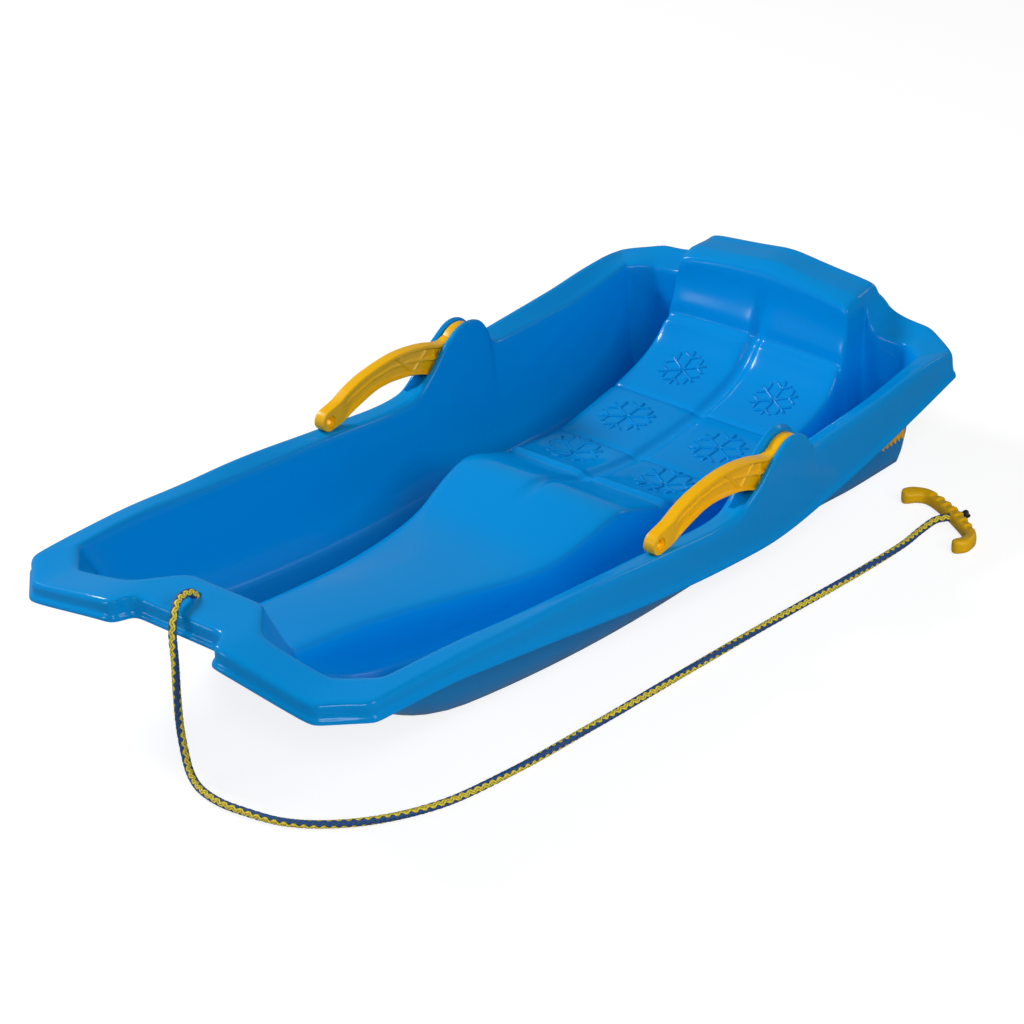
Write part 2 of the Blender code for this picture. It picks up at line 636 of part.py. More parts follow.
def head_loops(x_foot):
    base = floor_height(x_foot)
    front_x = HEAD_X - HEAD_TOP_RUN
    foot_z = blend(HEAD_Z, HEAD_REAR_Z, 0.3)
    rear_x = TAIL_X + HEAD_REAR_AHEAD
    front = island_section(front_x, foot_z, HEAD_HALF_WIDTH, HEAD_CROWN, 0.0, base, 0.0)
    inner = island_section(blend(front_x, rear_x, 0.45), blend(foot_z, HEAD_REAR_Z, 0.45),
                           blend(HEAD_HALF_WIDTH, HEAD_REAR_HALF_WIDTH, 0.45), HEAD_CROWN, 0.0, base, 0.0)
    outer = island_section(TAIL_X + HEAD_REAR_FLARE, HEAD_REAR_Z, HEAD_REAR_HALF_WIDTH, HEAD_CROWN, 0.0,
                           base, 0.0)
    loops = []
    for j in range(6):
        low = (TAIL_X, outer[j][1], TAIL_SKIRT_Z + TAIL_SKIRT_RISE)
        loops.append((front[j], inner[j], outer[j], low, END_CREASE_RUN, 0.0))
    return loops


# The section of wall, rim, skirt and lip at one place round the hull
def ring_section(foot, top_in, top_out, low, run, inner_drop):
    foot = Vector(foot)
    top_in = Vector(top_in)
    top_out = Vector(top_out)
    low = Vector(low)
    out = (top_out - top_in)
    out.z = 0.0
    out.normalize()
    up = Vector((0.0, 0.0, 1.0))
    wall_top = top_in - up * inner_drop
    crease = Vector((blend(foot.x, wall_top.x, run), blend(foot.y, wall_top.y, run),
                     blend(foot.z, wall_top.z, CREASE_HEIGHT)))
    turn = 1.0 - HALF_ROUND
    flare = Vector((low.x - top_out.x, low.y - top_out.y, 0.0))
    if flare.length > LIP:
        flare *= (flare.length - LIP) / flare.length
    return [
        foot,
        crease,
        wall_top,
        top_in + out * RIM_INNER_ROUND * turn - up * inner_drop * turn,
        top_in + out * RIM_INNER_ROUND,
        top_out - out * RIM_OUTER_ROUND,
        top_out - out * RIM_OUTER_ROUND * turn - up * RIM_OUTER_ROUND * turn,
        top_out - up * RIM_OUTER_ROUND,
        Vector((top_out.x, top_out.y, low.z + 2.0 * LIP)) + flare,
        low + up * LIP,
        low,
    ]


def hull_surface():
    rows = tub_rows()
    loops = nose_loops() + side_loops(rows) + tail_loops()[::-1]
    rings = [ring_section(*loop) for loop in loops]
    work = bmesh.new()
    ring_verts = [[work.verts.new(point) for point in ring] for ring in rings]
    columns = len(nose_loops())
    grid = [[ring_verts[j][0] for j in range(columns)]]
    for i, row in enumerate(rows):
        inner = [work.verts.new(point) for point in row[:-1]]
        grid.append(inner + [ring_verts[columns + i][0]])
    grid.append([ring_verts[-1 - j][0] for j in range(columns)])
    for low, high in zip(grid, grid[1:]):
        for j in range(columns - 1):
            work.faces.new((low[j], low[j + 1], high[j + 1], high[j]))
    for here, there in zip(ring_verts, ring_verts[1:]):
        for level in range(len(here) - 1):
            work.faces.new((here[level], here[level + 1], there[level + 1], there[level]))
    mesh = bpy.data.meshes.new("hull")
    work.to_mesh(mesh)
    work.free()
    return mesh


def ear_outline(radius):
    turn = math.radians(EAR_SLOPE_TURN)
    slope = [
        (EAR_FRONT, -0.9 * EAR_DROP),
        (blend(EAR_FRONT, radius, 0.30), -0.5 * EAR_DROP),
        (blend(EAR_FRONT, radius, 0.65), 0.05 * EAR_DROP),
        (1.10 * radius, 0.46 * radius),
        (radius * math.cos(turn), radius * math.sin(turn)),
    ]
    front = [(point[0], point[1]) for point in curve_through([(*p, 0.0) for p in slope], [2, 2, 2, 2])]
    crown = arc((0.0, 0.0), radius, EAR_SLOPE_TURN, EAR_BACK_TURN, 10)[1:]
    return front + crown + [(-EAR_REAR, -EAR_REAR_DROP), (-EAR_REAR, -EAR_DROP), (EAR_FRONT, -EAR_DROP)]


# Height of the lever tip's centre over the pivot: the tip lies on the rim
def tip_rise():
    centre = PIVOT_X + TIP_REACH
    need = 0.0
    for k in range(-12, 13):
        across = TIP_RADIUS * k / 12.0
        x = centre + across
        rim = rim_height(x) + rim_outer_rise(x)
        need = max(need, rim + math.sqrt(TIP_RADIUS**2 - across**2))
    return need + TIP_CLEAR - PIVOT_Z


def slot_sides():
    half = LEVER_THICK / 2.0 + LEVER_SIDE_CLEAR
    return LEVER_Y - half, LEVER_Y + half


def make_hull(collection, cutters, material):
    hull = bpy.data.objects.new("hull", hull_surface())
    collection.objects.link(hull)
    mirror = hull.modifiers.new("both_sides", "MIRROR")
    mirror.use_axis = (False, True, False)
    mirror.merge_threshold = MERGE
    shell = hull.modifiers.new("shell", "SOLIDIFY")
    shell.thickness = WALL
    shell.offset = -1.0
    shell.use_even_offset = True
    slot_in, slot_out = slot_sides()
    ears = (("inner_ear", slot_in - INNER_EAR_THICK, slot_in + EAR_OVERCUT, INNER_EAR_RADIUS),
            ("outer_ear", slot_out - EAR_OVERCUT, slot_out + OUTER_EAR_THICK, OUTER_EAR_RADIUS))
    for side, name in ((1.0, "left"), (-1.0, "right")):
        for ear, near, far, radius in ears:
            plate = upright_plate(ear + "_" + name, ear_outline(radius), far - near,
                                  (PIVOT_X, side * (near + far) / 2.0, PIVOT_Z), cutters)
            hide_cutter(plate, cutters)
            boolean(hull, plate, "UNION")
        slot_front = EAR_FRONT - SLOT_FRONT_INSET
        bpy.ops.mesh.primitive_cube_add(size=1.0, location=(
            PIVOT_X + (slot_front - EAR_REAR) / 2.0, side * LEVER_Y, PIVOT_Z))
        slot = bpy.context.object
        slot.name = "slot_" + name
        slot.scale = (slot_front + EAR_REAR, slot_out - slot_in, SLOT_HEIGHT)
        hide_cutter(slot, cutters)
        boolean(hull, slot, "DIFFERENCE")
        inner = slot_in - INNER_EAR_THICK + SOCKET_WALL
        outer = slot_out + OUTER_EAR_THICK - SOCKET_WALL
        socket = cylinder("socket_" + name, PIN_RADIUS + PIN_CLEAR, outer - inner,
                          (PIVOT_X, side * (inner + outer) / 2.0, PIVOT_Z),
                          (math.pi / 2.0, 0.0, 0.0), 20, cutters)
        hide_cutter(socket, cutters)
        boolean(hull, socket, "DIFFERENCE")
    hole = cylinder("nose_hole", ROPE_RADIUS + ROPE_CLEAR, CUT_DEPTH,
                    (NOSE_HOLE_X, NOSE_HOLE_Y, NOSE_TOP_Z), (0.0, 0.0, 0.0), 16, cutters)
    hide_cutter(hole, cutters)
    boolean(hull, hole, "DIFFERENCE")
    finish(hull, material)
    return hull


def arm_top(u):
    return value_at([
        (1.15 * HUB_RADIUS, 0.65 * HUB_RADIUS),
        (0.29 * TIP_REACH, blend(0.65 * HUB_RADIUS, ARM_TOP_RISE, 0.62)),
        (0.50 * TIP_REACH, ARM_TOP_RISE),
        (0.75 * TIP_REACH, ARM_TOP_RISE - ARM_TOP_FALL),
        (TIP_REACH - TIP_RADIUS, tip_rise() + 1.3 * TIP_RADIUS),
    ], u)


def arm_bottom(u):
    return value_at([
        (0.10 * TIP_REACH, -0.80 * HUB_RADIUS),
        (0.25 * TIP_REACH, -0.34 * HUB_RADIUS),
        (0.37 * TIP_REACH, 0.0),
        (0.60 * TIP_REACH, ARM_BOTTOM_RISE),
        (0.78 * TIP_REACH, blend(ARM_BOTTOM_RISE, tip_rise() - ARM_TIP_HALF, 0.5)),
        (0.90 * TIP_REACH, tip_rise() - ARM_TIP_HALF),
    ], u)


def arm_outline():
    tip = (TIP_REACH, tip_rise())
    outline = arc(tip, TIP_RADIUS, -118.0, 96.0, 10)
    first = TIP_REACH - 1.2 * TIP_RADIUS
    for k in range(10):
        u = blend(first, 1.2 * HUB_RADIUS, k / 9.0)
        outline.append((u, arm_top(u)))
    outline += arc((0.0, 0.0), HUB_RADIUS, 42.0, 300.0, 18)
    for k in range(10):
        u = blend(0.95 * HUB_RADIUS, 0.93 * TIP_REACH, k / 9.0)
        outline.append((u, arm_bottom(u)))
    return outline


def tail_outline():
    end_x = -TAIL_REACH
    line = TOOTH_LINE_FALL / TAIL_REACH
    outline = [(0.0, TAIL_ROOT_DROP), (-0.65 * TAIL_ROOT, 1.5 * TAIL_ROOT_DROP)]
    outline += [(-TAIL_ROOT, -TAIL_ROOT_DROP), (-TAIL_KNEE, -TAIL_KNEE_DROP)]
    outline += arc((end_x + TAIL_END_ROUND, -TAIL_TOP_DROP - TAIL_END_ROUND), TAIL_END_ROUND,
                   90.0, 180.0, 3)
    outline.append((end_x, -TAIL_END_DROP))
    for k in range(TOOTH_COUNT):
        near = end_x + TOOTH_START + k * TOOTH_PITCH
        base = -TAIL_END_DROP - line * (k + 1) * TOOTH_PITCH
        outline.append((near, base - TOOTH_DEPTH))
        outline.append((near + TOOTH_PITCH * TOOTH_FACE, base))
    foot = end_x + TOOTH_START + (TOOTH_COUNT + 1) * TOOTH_PITCH
    outline.append((foot, -TAIL_END_DROP + TOOTH_START))
    outline.append((-TAIL_KNEE, -TAIL_KNEE_DROP - TAIL_DEPTH))
    outline.append((-0.5 * TAIL_ROOT, -0.80 * HUB_RADIUS))
    return outline


def pocket_outline(start, end):
    count = max(2, round((end - start) / POCKET_STEP))
    top = []
    bottom = []
    for k in range(count + 1):
        u = blend(start, end, k / count)
        top.append((u, arm_top(u) - POCKET_BORDER))
        bottom.append((u, arm_bottom(u) + POCKET_BORDER))
    return bottom + top[::-1]


def make_lever(side, name, collection, cutters, material):
    lever = upright_plate("brake_lever_" + name, arm_outline(), LEVER_THICK,
                          (PIVOT_X, side * LEVER_Y, PIVOT_Z), collection)
    tail = upright_plate("tail_" + name, tail_outline(), TAIL_THICK,
                         (PIVOT_X, side * LEVER_Y, PIVOT_Z), cutters)
    hide_cutter(tail, cutters)
    boolean(lever, tail, "UNION")
    ribs = [1.25 * HUB_RADIUS, 0.265 * TIP_REACH, 0.42 * TIP_REACH, 0.66 * TIP_REACH, 0.91 * TIP_REACH]
    cells = [(near + RIB_HALF, far - RIB_HALF) for near, far in zip(ribs, ribs[1:])]
    for face in (1.0, -1.0):
        for k, (start, end) in enumerate(cells):
            y = side * LEVER_Y + face * LEVER_THICK / 2.0
            pocket = upright_plate("pocket_%s_%d_%d" % (name, k, int(face > 0)), pocket_outline(start, end),
                                   2.0 * POCKET_DEPTH, (PIVOT_X, y, PIVOT_Z), cutters)
            hide_cutter(pocket, cutters)
            boolean(lever, pocket, "DIFFERENCE")
    for label, u, w, radius in (("bore", 0.0, 0.0, PIN_RADIUS + PIN_CLEAR),
                                ("tip_hole", TIP_REACH, tip_rise(), TIP_HOLE_RADIUS)):
        hole = cylinder(label + "_" + name, radius, CUT_DEPTH, (PIVOT_X + u, side * LEVER_Y, PIVOT_Z + w),
                        (math.pi / 2.0, 0.0, 0.0), 20, cutters)
        hide_cutter(hole, cutters)
        boolean(lever, hole, "DIFFERENCE")
    finish(lever, material)
    return lever


def make_pin(side, name, collection, material):
    slot_in, slot_out = slot_sides()
    inner = slot_in - INNER_EAR_THICK + SOCKET_WALL + GAP
    outer = slot_out + OUTER_EAR_THICK - SOCKET_WALL - GAP
    pin = cylinder("brake_pin_" + name, PIN_RADIUS, outer - inner,
                   (PIVOT_X, side * (inner + outer) / 2.0, PIVOT_Z),
                   (math.pi / 2.0, 0.0, 0.0), 16, collection)
    finish(pin, material)
    return pin


# Places on the tow handle, from its own length and thickness directions
def handle_place(along, across, z):
    c = math.cos(HANDLE_TURN)
    s = math.sin(HANDLE_TURN)
    return (HANDLE_X + along * c - across * s, HANDLE_Y + along * s + across * c, z)


def beside(share, out):
    return (blend(NOSE_X, TAIL_X, share), HALF_WIDTH + out, FLOOR_Z)


# Route of the rope: up out of the nose hole, over the front edge, down to the floor, round and along
def rope_route():
    start = NOSE_TOP_Z - ROPE_START_DROP
    over_edge = [
        (NOSE_X - 0.0465, -0.0101, NOSE_TOP_Z + 0.0034),
        (NOSE_X - 0.0400, -0.0094, NOSE_TOP_Z + 0.0056),
        (NOSE_X - 0.0315, -0.0075, NOSE_TOP_Z + 0.0059),
        (NOSE_X - 0.0240, -0.0040, NOSE_TOP_Z + 0.0046),
        (NOSE_X - 0.0178, -0.0002, NOSE_TOP_Z + 0.0012),
        (NOSE_X - 0.0138, 0.0018, NOSE_TOP_Z - 0.0047),
        (NOSE_X - 0.0122, 0.0026, NOSE_TOP_Z - 0.0140),
    ]
    hanging = [
        (NOSE_X - 0.0120, 0.0038, 0.73 * NOSE_TOP_Z),
        (NOSE_X - 0.0120, 0.0042, 0.47 * NOSE_TOP_Z),
        (NOSE_X - 0.0120, 0.0056, 0.30 * NOSE_TOP_Z),
        (NOSE_X - 0.0116, 0.0092, 0.16 * NOSE_TOP_Z),
        (NOSE_X - 0.0091, 0.0155, FLOOR_Z + 0.0050),
        (NOSE_X - 0.0042, 0.0255, FLOOR_Z + 0.0006),
    ]
    round_nose = [
        (NOSE_X + 0.0018, 0.21 * HALF_WIDTH, FLOOR_Z),
        (NOSE_X + 0.0052, 0.33 * HALF_WIDTH, FLOOR_Z),
        (NOSE_X + 0.0028, 0.45 * HALF_WIDTH, FLOOR_Z),
        (NOSE_X - 0.0045, 0.61 * HALF_WIDTH, FLOOR_Z),
        (NOSE_X - 0.0205, 0.745 * HALF_WIDTH, FLOOR_Z),
    ]
    along_side = [
        beside(0.060, -0.0205),
        beside(0.117, 0.0035),
        beside(0.193, 0.0155),
        beside(0.307, 0.0236),
        beside(0.448, 0.0307),
        beside(0.583, 0.0382),
        beside(0.700, 0.0456),
        beside(0.789, 0.0484),
    ]
    lead = HANDLE_CREST - HANDLE_WIDTH
    to_handle = [
        (HANDLE_X + 0.0319, HANDLE_Y - 0.0098, FLOOR_Z + 0.0008),
        handle_place(0.0, lead - ROPE_LEAD, ROPE_Z),
        handle_place(0.0, lead, ROPE_Z),
        handle_place(0.0, HANDLE_CREST + GAP, ROPE_Z),
    ]
    exit_hole = [
        (NOSE_HOLE_X, NOSE_HOLE_Y, start),
        (NOSE_HOLE_X, NOSE_HOLE_Y, start + 1.2 * ROPE_RADIUS),
    ]
    return exit_hole + over_edge + hanging + round_nose + along_side + to_handle


# Points at an even step along the smooth route, with its two ends kept
def even_points(route, step):
    fine = curve_through(route, [24] * (len(route) - 1))
    lengths = [0.0]
    for a, b in zip(fine, fine[1:]):
        lengths.append(lengths[-1] + (b - a).length)
    total = lengths[-1]
    count = round(total / step)
    points = []
    k = 0
    for i in range(count + 1):
        want = total * i / count
        while k < len(fine) - 2 and lengths[k + 1] < want:
            k += 1
        span = lengths[k + 1] - lengths[k]
        points.append(fine[k].lerp(fine[k + 1], (want - lengths[k]) / span))
    return points, total


def make_rope(collection, material):
    points, total = even_points(rope_route(), ROPE_STEP)
    print("tow rope length %.3f m in %d points" % (total, len(points)))
    curve = bpy.data.curves.new("tow_rope", "CURVE")
    curve.dimensions = "3D"
    curve.bevel_depth = ROPE_RADIUS
    curve.bevel_resolution = 2
    curve.use_fill_caps = True
    spline = curve.splines.new("POLY")
    spline.points.add(len(points) - 1)
    for point, place in zip(spline.points, points):
        point.co = (*place, 1.0)
    rope = bpy.data.objects.new("tow_rope", curve)
    collection.objects.link(rope)
    curve.materials.append(material)
    return rope


def make_knot(name, place, radius, height, collection, material):
    bpy.ops.mesh.primitive_uv_sphere_add(segments=16, ring_count=10, radius=1.0, location=place)
    knot = bpy.context.object
    knot.name = name
    knot.data.name = name
    for vertex in knot.data.vertices:
        vertex.co = (vertex.co.x * radius, vertex.co.y * radius, vertex.co.z * height)
    move_to(knot, collection)
    finish(knot, material)
    return knot


def handle_outline():
    keys = [
        (0.0, HANDLE_CREST),
        (0.53 * HANDLE_HALF_LENGTH, HANDLE_CREST - 0.16 * HANDLE_BOW),
        (0.85 * HANDLE_HALF_LENGTH, HANDLE_CREST - 0.47 * HANDLE_BOW),
        (HANDLE_HALF_LENGTH, HANDLE_CREST - HANDLE_BOW),
    ]
    outer = [(p[0], p[1]) for p in curve_through([(*k, 0.0) for k in keys], [2, 2, 2])]
    centre = (HANDLE_HALF_LENGTH - HANDLE_END_RADIUS, -HANDLE_HOOK + HANDLE_END_RADIUS)
    end = arc(centre, HANDLE_END_RADIUS, -10.0, -175.0, 6)
    inner_keys = [
        (centre[0] - HANDLE_END_RADIUS, centre[1] + 0.4 * HANDLE_END_RADIUS),
        (centre[0] - 1.5 * HANDLE_END_RADIUS, HANDLE_CREST - HANDLE_WIDTH - HANDLE_INNER_BOW),
        (0.45 * HANDLE_HALF_LENGTH, HANDLE_CREST - HANDLE_WIDTH - 0.3 * HANDLE_INNER_BOW),
        (0.0, HANDLE_CREST - HANDLE_WIDTH),
    ]
    inner = [(p[0], p[1]) for p in curve_through([(*k, 0.0) for k in inner_keys], [2, 2, 1])]
    half = outer + end + inner
    return half + [(-x, y) for x, y in half[-2:0:-1]]


def make_handle(collection, cutters, material):
    handle = polygon_plate("tow_handle", handle_outline(), HANDLE_HEIGHT, collection)
    handle.location = handle_place(0.0, 0.0, ROPE_Z)
    handle.rotation_euler = (0.0, 0.0, HANDLE_TURN)
    hole = cylinder("handle_hole", ROPE_RADIUS + HANDLE_HOLE_CLEAR, 2.0 * HANDLE_WIDTH,
                    handle_place(0.0, HANDLE_CREST - HANDLE_WIDTH / 2.0, ROPE_Z),
                    (math.pi / 2.0, 0.0, HANDLE_TURN), 16, cutters)
    hide_cutter(hole, cutters)
    boolean(handle, hole, "DIFFERENCE")
    finish(handle, material)
    return handle


def main():
    clear_scene()
    parts = new_collection("plastic_bobsled")
    cutters = new_collection("cutters")
    blue = plastic("hull_blue", (0.0, 0.23, 0.62), 0.28)
    yellow = plastic("brake_yellow", (0.95, 0.45, 0.0), 0.35)
    steel = plastic("pin_steel", (0.55, 0.56, 0.58), 0.35)
    steel.node_tree.nodes["Principled BSDF"].inputs["Metallic"].default_value = 1.0
    braid = plastic("rope_braid", (0.55, 0.50, 0.06), 0.75)
    make_hull(parts, cutters, blue)
    for side, name in ((1.0, "left"), (-1.0, "right")):
        make_lever(side, name, parts, cutters, yellow)
        make_pin(side, name, parts, steel)
    make_rope(parts, braid)
    knot_z = NOSE_TOP_Z - ROPE_START_DROP - KNOT_GAP - KNOT_HEIGHT
    make_knot("nose_knot", (NOSE_HOLE_X, NOSE_HOLE_Y, knot_z), KNOT_RADIUS, KNOT_HEIGHT, parts, braid)
    place = handle_place(0.0, HANDLE_CREST + 2.0 * GAP + KNOT_HEIGHT, ROPE_Z)
    make_knot("handle_knot", place, KNOT_HEIGHT, KNOT_HEIGHT, parts, braid)
    make_handle(parts, cutters, yellow)


main()
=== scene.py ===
import math

import bmesh
import bpy
from mathutils import Matrix, Vector


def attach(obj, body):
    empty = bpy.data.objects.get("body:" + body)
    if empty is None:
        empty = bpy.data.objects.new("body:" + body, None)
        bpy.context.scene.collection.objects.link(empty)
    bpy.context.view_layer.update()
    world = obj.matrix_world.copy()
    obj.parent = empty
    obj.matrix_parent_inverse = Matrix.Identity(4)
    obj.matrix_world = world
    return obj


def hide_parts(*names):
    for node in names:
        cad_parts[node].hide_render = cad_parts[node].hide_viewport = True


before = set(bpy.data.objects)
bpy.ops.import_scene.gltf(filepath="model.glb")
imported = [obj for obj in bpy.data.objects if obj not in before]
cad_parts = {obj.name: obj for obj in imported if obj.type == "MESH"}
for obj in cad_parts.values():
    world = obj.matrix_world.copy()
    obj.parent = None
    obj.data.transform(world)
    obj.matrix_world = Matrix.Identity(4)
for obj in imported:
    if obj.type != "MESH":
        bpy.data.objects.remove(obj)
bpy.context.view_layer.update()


class Settings(dict):  # a dictionary whose entries also read as names
    def __getattr__(self, name):
        return self[name]


def blend(a, b, t):
    return a + (b - a) * t


def limit(value, low, high):
    return min(max(value, low), high)


def fade(value, start, end):  # 0 at start and 1 at end, eased at both
    t = limit((value - start) / (end - start), 0.0, 1.0)
    return t * t * (3.0 - 2.0 * t)


def hermite(a, b, leaving, arriving, t):  # a cubic from a to b, with its slope at each end
    return (a * (2 * t**3 - 3 * t**2 + 1) + leaving * (t**3 - 2 * t**2 + t)
            + b * (3 * t**2 - 2 * t**3) + arriving * (t**3 - t**2))


def curveThrough(keys, steps):  # smooth points through keys, evenly eased between uneven gaps
    points = []
    for i in range(len(keys) - 1):
        p1, p2 = Vector(keys[i]), Vector(keys[i + 1])
        p0 = Vector(keys[i - 1]) if i else p1 * 2.0 - p2
        p3 = Vector(keys[i + 2]) if i + 2 < len(keys) else p2 * 2.0 - p1
        d0, d1, d2 = (math.sqrt((b - a).length) for a, b in ((p0, p1), (p1, p2), (p2, p3)))
        m1 = ((p1 - p0) / d0 - (p2 - p0) / (d0 + d1) + (p2 - p1) / d1) * d1
        m2 = ((p2 - p1) / d1 - (p3 - p1) / (d1 + d2) + (p3 - p2) / d2) * d1
        points += [hermite(p1, p2, m1, m2, k / steps) for k in range(steps)]
    points.append(Vector(keys[-1]))
    return points


def valueAt(keys, x):  # curve through (x, value) pairs that never overshoots them
    keys = sorted(keys)
    if x <= keys[0][0]:
        return keys[0][1]
    if x >= keys[-1][0]:
        return keys[-1][1]
    slopes = [(b[1] - a[1]) / (b[0] - a[0]) for a, b in zip(keys, keys[1:])]
    tangents = [slopes[0]]
    for left, right in zip(slopes, slopes[1:]):
        tangents.append(2.0 * left * right / (left + right) if left * right > 0.0 else 0.0)
    tangents.append(slopes[-1])
    i = max(k for k in range(len(keys) - 1) if keys[k][0] <= x)
    run = keys[i + 1][0] - keys[i][0]
    t = (x - keys[i][0]) / run
    return hermite(keys[i][1], keys[i + 1][1], tangents[i] * run, tangents[i + 1] * run, t)


def linearAt(keys, x):
    if x <= keys[0][0]:
        return keys[0][1]
    for a, b in zip(keys, keys[1:]):
        if x <= b[0]:
            return blend(a[1], b[1], (x - a[0]) / (b[0] - a[0]))
    return keys[-1][1]


# meshes
def addMeshObject(name, points, faces, material):
    mesh = bpy.data.meshes.new(name)
    mesh.from_pydata([tuple(p) for p in points], [], faces)
    mesh.validate()
    item = bpy.data.objects.new(name, mesh)
    bpy.context.scene.collection.objects.link(item)
    mesh.materials.append(material)
    mesh.shade_smooth()
    return item


def bakeDown(item):  # modifiers applied, place and turn moved into the mesh
    bpy.context.view_layer.update()
    graph = bpy.context.evaluated_depsgraph_get()
    mesh = bpy.data.meshes.new_from_object(item.evaluated_get(graph), depsgraph=graph)
    mesh.transform(item.matrix_world)
    name = item.name
    bpy.data.objects.remove(item, do_unlink=True)
    mesh.name = name
    solid = bpy.data.objects.new(name, mesh)
    bpy.context.scene.collection.objects.link(solid)
    return solid


def faceOutwards(item):
    work = bmesh.new()
    work.from_mesh(item.data)
    bmesh.ops.recalc_face_normals(work, faces=work.faces)
    work.to_mesh(item.data)
    work.free()


def bevelled(item, width, segments):
    step = item.modifiers.new("bevel", "BEVEL")
    step.width = width
    step.segments = segments
    return bakeDown(item)


def shadeSharp(item, degrees):  # smooth shading that breaks at sharper edges
    item.data.shade_smooth()
    item.data.set_sharp_from_angle(angle=math.radians(degrees))


def tubeFaces(rings, size, base=0):  # quads between rings of points, and a face over each end
    faces = []
    for k in range(rings - 1):
        here, there = base + k * size, base + (k + 1) * size
        for n in range(size):
            m = (n + 1) % size
            faces.append((here + n, here + m, there + m, there + n))
    last = base + (rings - 1) * size
    faces.append(tuple(range(base, base + size))[::-1])
    faces.append(tuple(range(last, last + size)))
    return faces


def prism(name, outline, near, far, material):  # an outline in x and z, drawn out along y
    count = len(outline)
    faces = [tuple(range(count)), tuple(range(2 * count - 1, count - 1, -1))]
    faces += [((k + 1) % count, k, count + k, count + (k + 1) % count) for k in range(count)]
    return addMeshObject(name, [(x, y, z) for y in (near, far) for x, z in outline], faces, material)


def rod(name, start, end, radius, sides, material):
    turn = (Vector(end) - Vector(start)).to_track_quat("Z", "Y").to_matrix()
    points = []
    for place in (start, end):
        for k in range(sides):
            angle = math.tau * k / sides
            edge = Vector((radius * math.cos(angle), radius * math.sin(angle), 0.0))
            points.append(Vector(place) + turn @ edge)
    return addMeshObject(name, points, tubeFaces(2, sides), material)


def carve(item, tools, operation="DIFFERENCE"):
    for tool in tools:
        step = item.modifiers.new(tool.name, "BOOLEAN")
        step.object = tool
        step.operation = operation
        step.solver = "MANIFOLD"
    solid = bakeDown(item)
    for tool in tools:
        bpy.data.objects.remove(tool, do_unlink=True)
    return solid


# nodes
class Wire:  # one output socket, with maths on it written as Python
    def __init__(self, tree, socket):
        self.tree = tree
        self.socket = socket

    def __add__(self, other):
        return self.tree.maths("ADD", self, other)

    __radd__ = __add__

    def __sub__(self, other):
        return self.tree.maths("SUBTRACT", self, other)

    def __rsub__(self, other):
        return self.tree.maths("SUBTRACT", other, self)

    def __mul__(self, other):
        return self.tree.maths("MULTIPLY", self, other)

    __rmul__ = __mul__

    def __truediv__(self, other):
        return self.tree.maths("DIVIDE", self, other)

    def __rtruediv__(self, other):
        return self.tree.maths("DIVIDE", other, self)

    def __gt__(self, other):
        return self.tree.maths("GREATER_THAN", self, other)

    def __abs__(self):
        return self.tree.maths("ABSOLUTE", self)

    def sine(self):
        return self.tree.maths("SINE", self)

    def fraction(self):
        return self.tree.maths("FRACT", self)

    def limited(self):
        return self.tree.node("ShaderNodeClamp", {}, {0: self}).out(0)


class Placed:  # one node, with its outputs by name or number
    def __init__(self, tree, item):
        self.tree = tree
        self.item = item

    def out(self, key):
        return Wire(self.tree, self.item.outputs[key])


class Tree:  # a node tree with one way to add a node, and short forms for the ones used most
    def __init__(self, nodeTree):
        self.nodeTree = nodeTree

    def node(self, kind, settings=None, inputs=None):
        item = self.nodeTree.nodes.new(kind)
        for key, value in (settings or {}).items():
            if key == "stops":
                for k, (place, colour) in enumerate(value):
                    stop = item.color_ramp.elements[k] if k < 2 else item.color_ramp.elements.new(place)
                    stop.position = place
                    stop.color = colour
            else:
                setattr(item, key, value)
        for key, value in (inputs or {}).items():
            if isinstance(value, Wire):
                self.nodeTree.links.new(value.socket, item.inputs[key])
            else:
                item.inputs[key].default_value = value
        return Placed(self, item)

    def feed(self, item, label, wire):  # links to a socket of a node that is already there
        self.nodeTree.links.new(wire.socket, item.inputs[label])

    def maths(self, operation, *values):
        return self.node("ShaderNodeMath", {"operation": operation}, dict(enumerate(values))).out(0)

    def mixed(self, share, *colours):  # two colours, each a link or three numbers
        first, second = (c if isinstance(c, Wire) else (*c, 1.0) for c in colours)
        return self.node("ShaderNodeMix", {"data_type": "RGBA"}, {0: share, 6: first, 7: second}).out(2)

    def noise(self, place, scale, detail):
        return self.node("ShaderNodeTexNoise", {}, {"Vector": place, "Scale": scale, "Detail": detail}).out(0)

    def bump(self, height, strength, depth):
        return self.node("ShaderNodeBump", {},
                         {"Height": height, "Strength": strength, "Distance": depth}).out(0)

    def scaled(self, vector, factor):
        return self.node("ShaderNodeVectorMath", {"operation": "SCALE"}, {0: vector, "Scale": factor}).out(0)

    def combined(self, axis, value):  # a vector along one axis
        return self.node("ShaderNodeCombineXYZ", {}, {axis: value}).out(0)

    def stored(self, kind, geometry, name, value):  # the geometry with a value kept on it
        return self.node("GeometryNodeStoreNamedAttribute", {"data_type": kind},
                         {"Geometry": geometry, "Name": name, "Value": value}).out(0)

    def recalled(self, kind, name):
        return self.node("GeometryNodeInputNamedAttribute", {"data_type": kind}, {"Name": name}).out(0)


def newMaterial(name, colour, roughness, specular=0.5, metallic=0.0):
    material = bpy.data.materials.new(name)
    material.use_nodes = True
    shader = material.node_tree.nodes["Principled BSDF"]
    shader.inputs["Base Color"].default_value = (*colour, 1.0)
    shader.inputs["Roughness"].default_value = roughness
    shader.inputs["Specular IOR Level"].default_value = specular
    shader.inputs["Metallic"].default_value = metallic
    return material, Tree(material.node_tree), shader


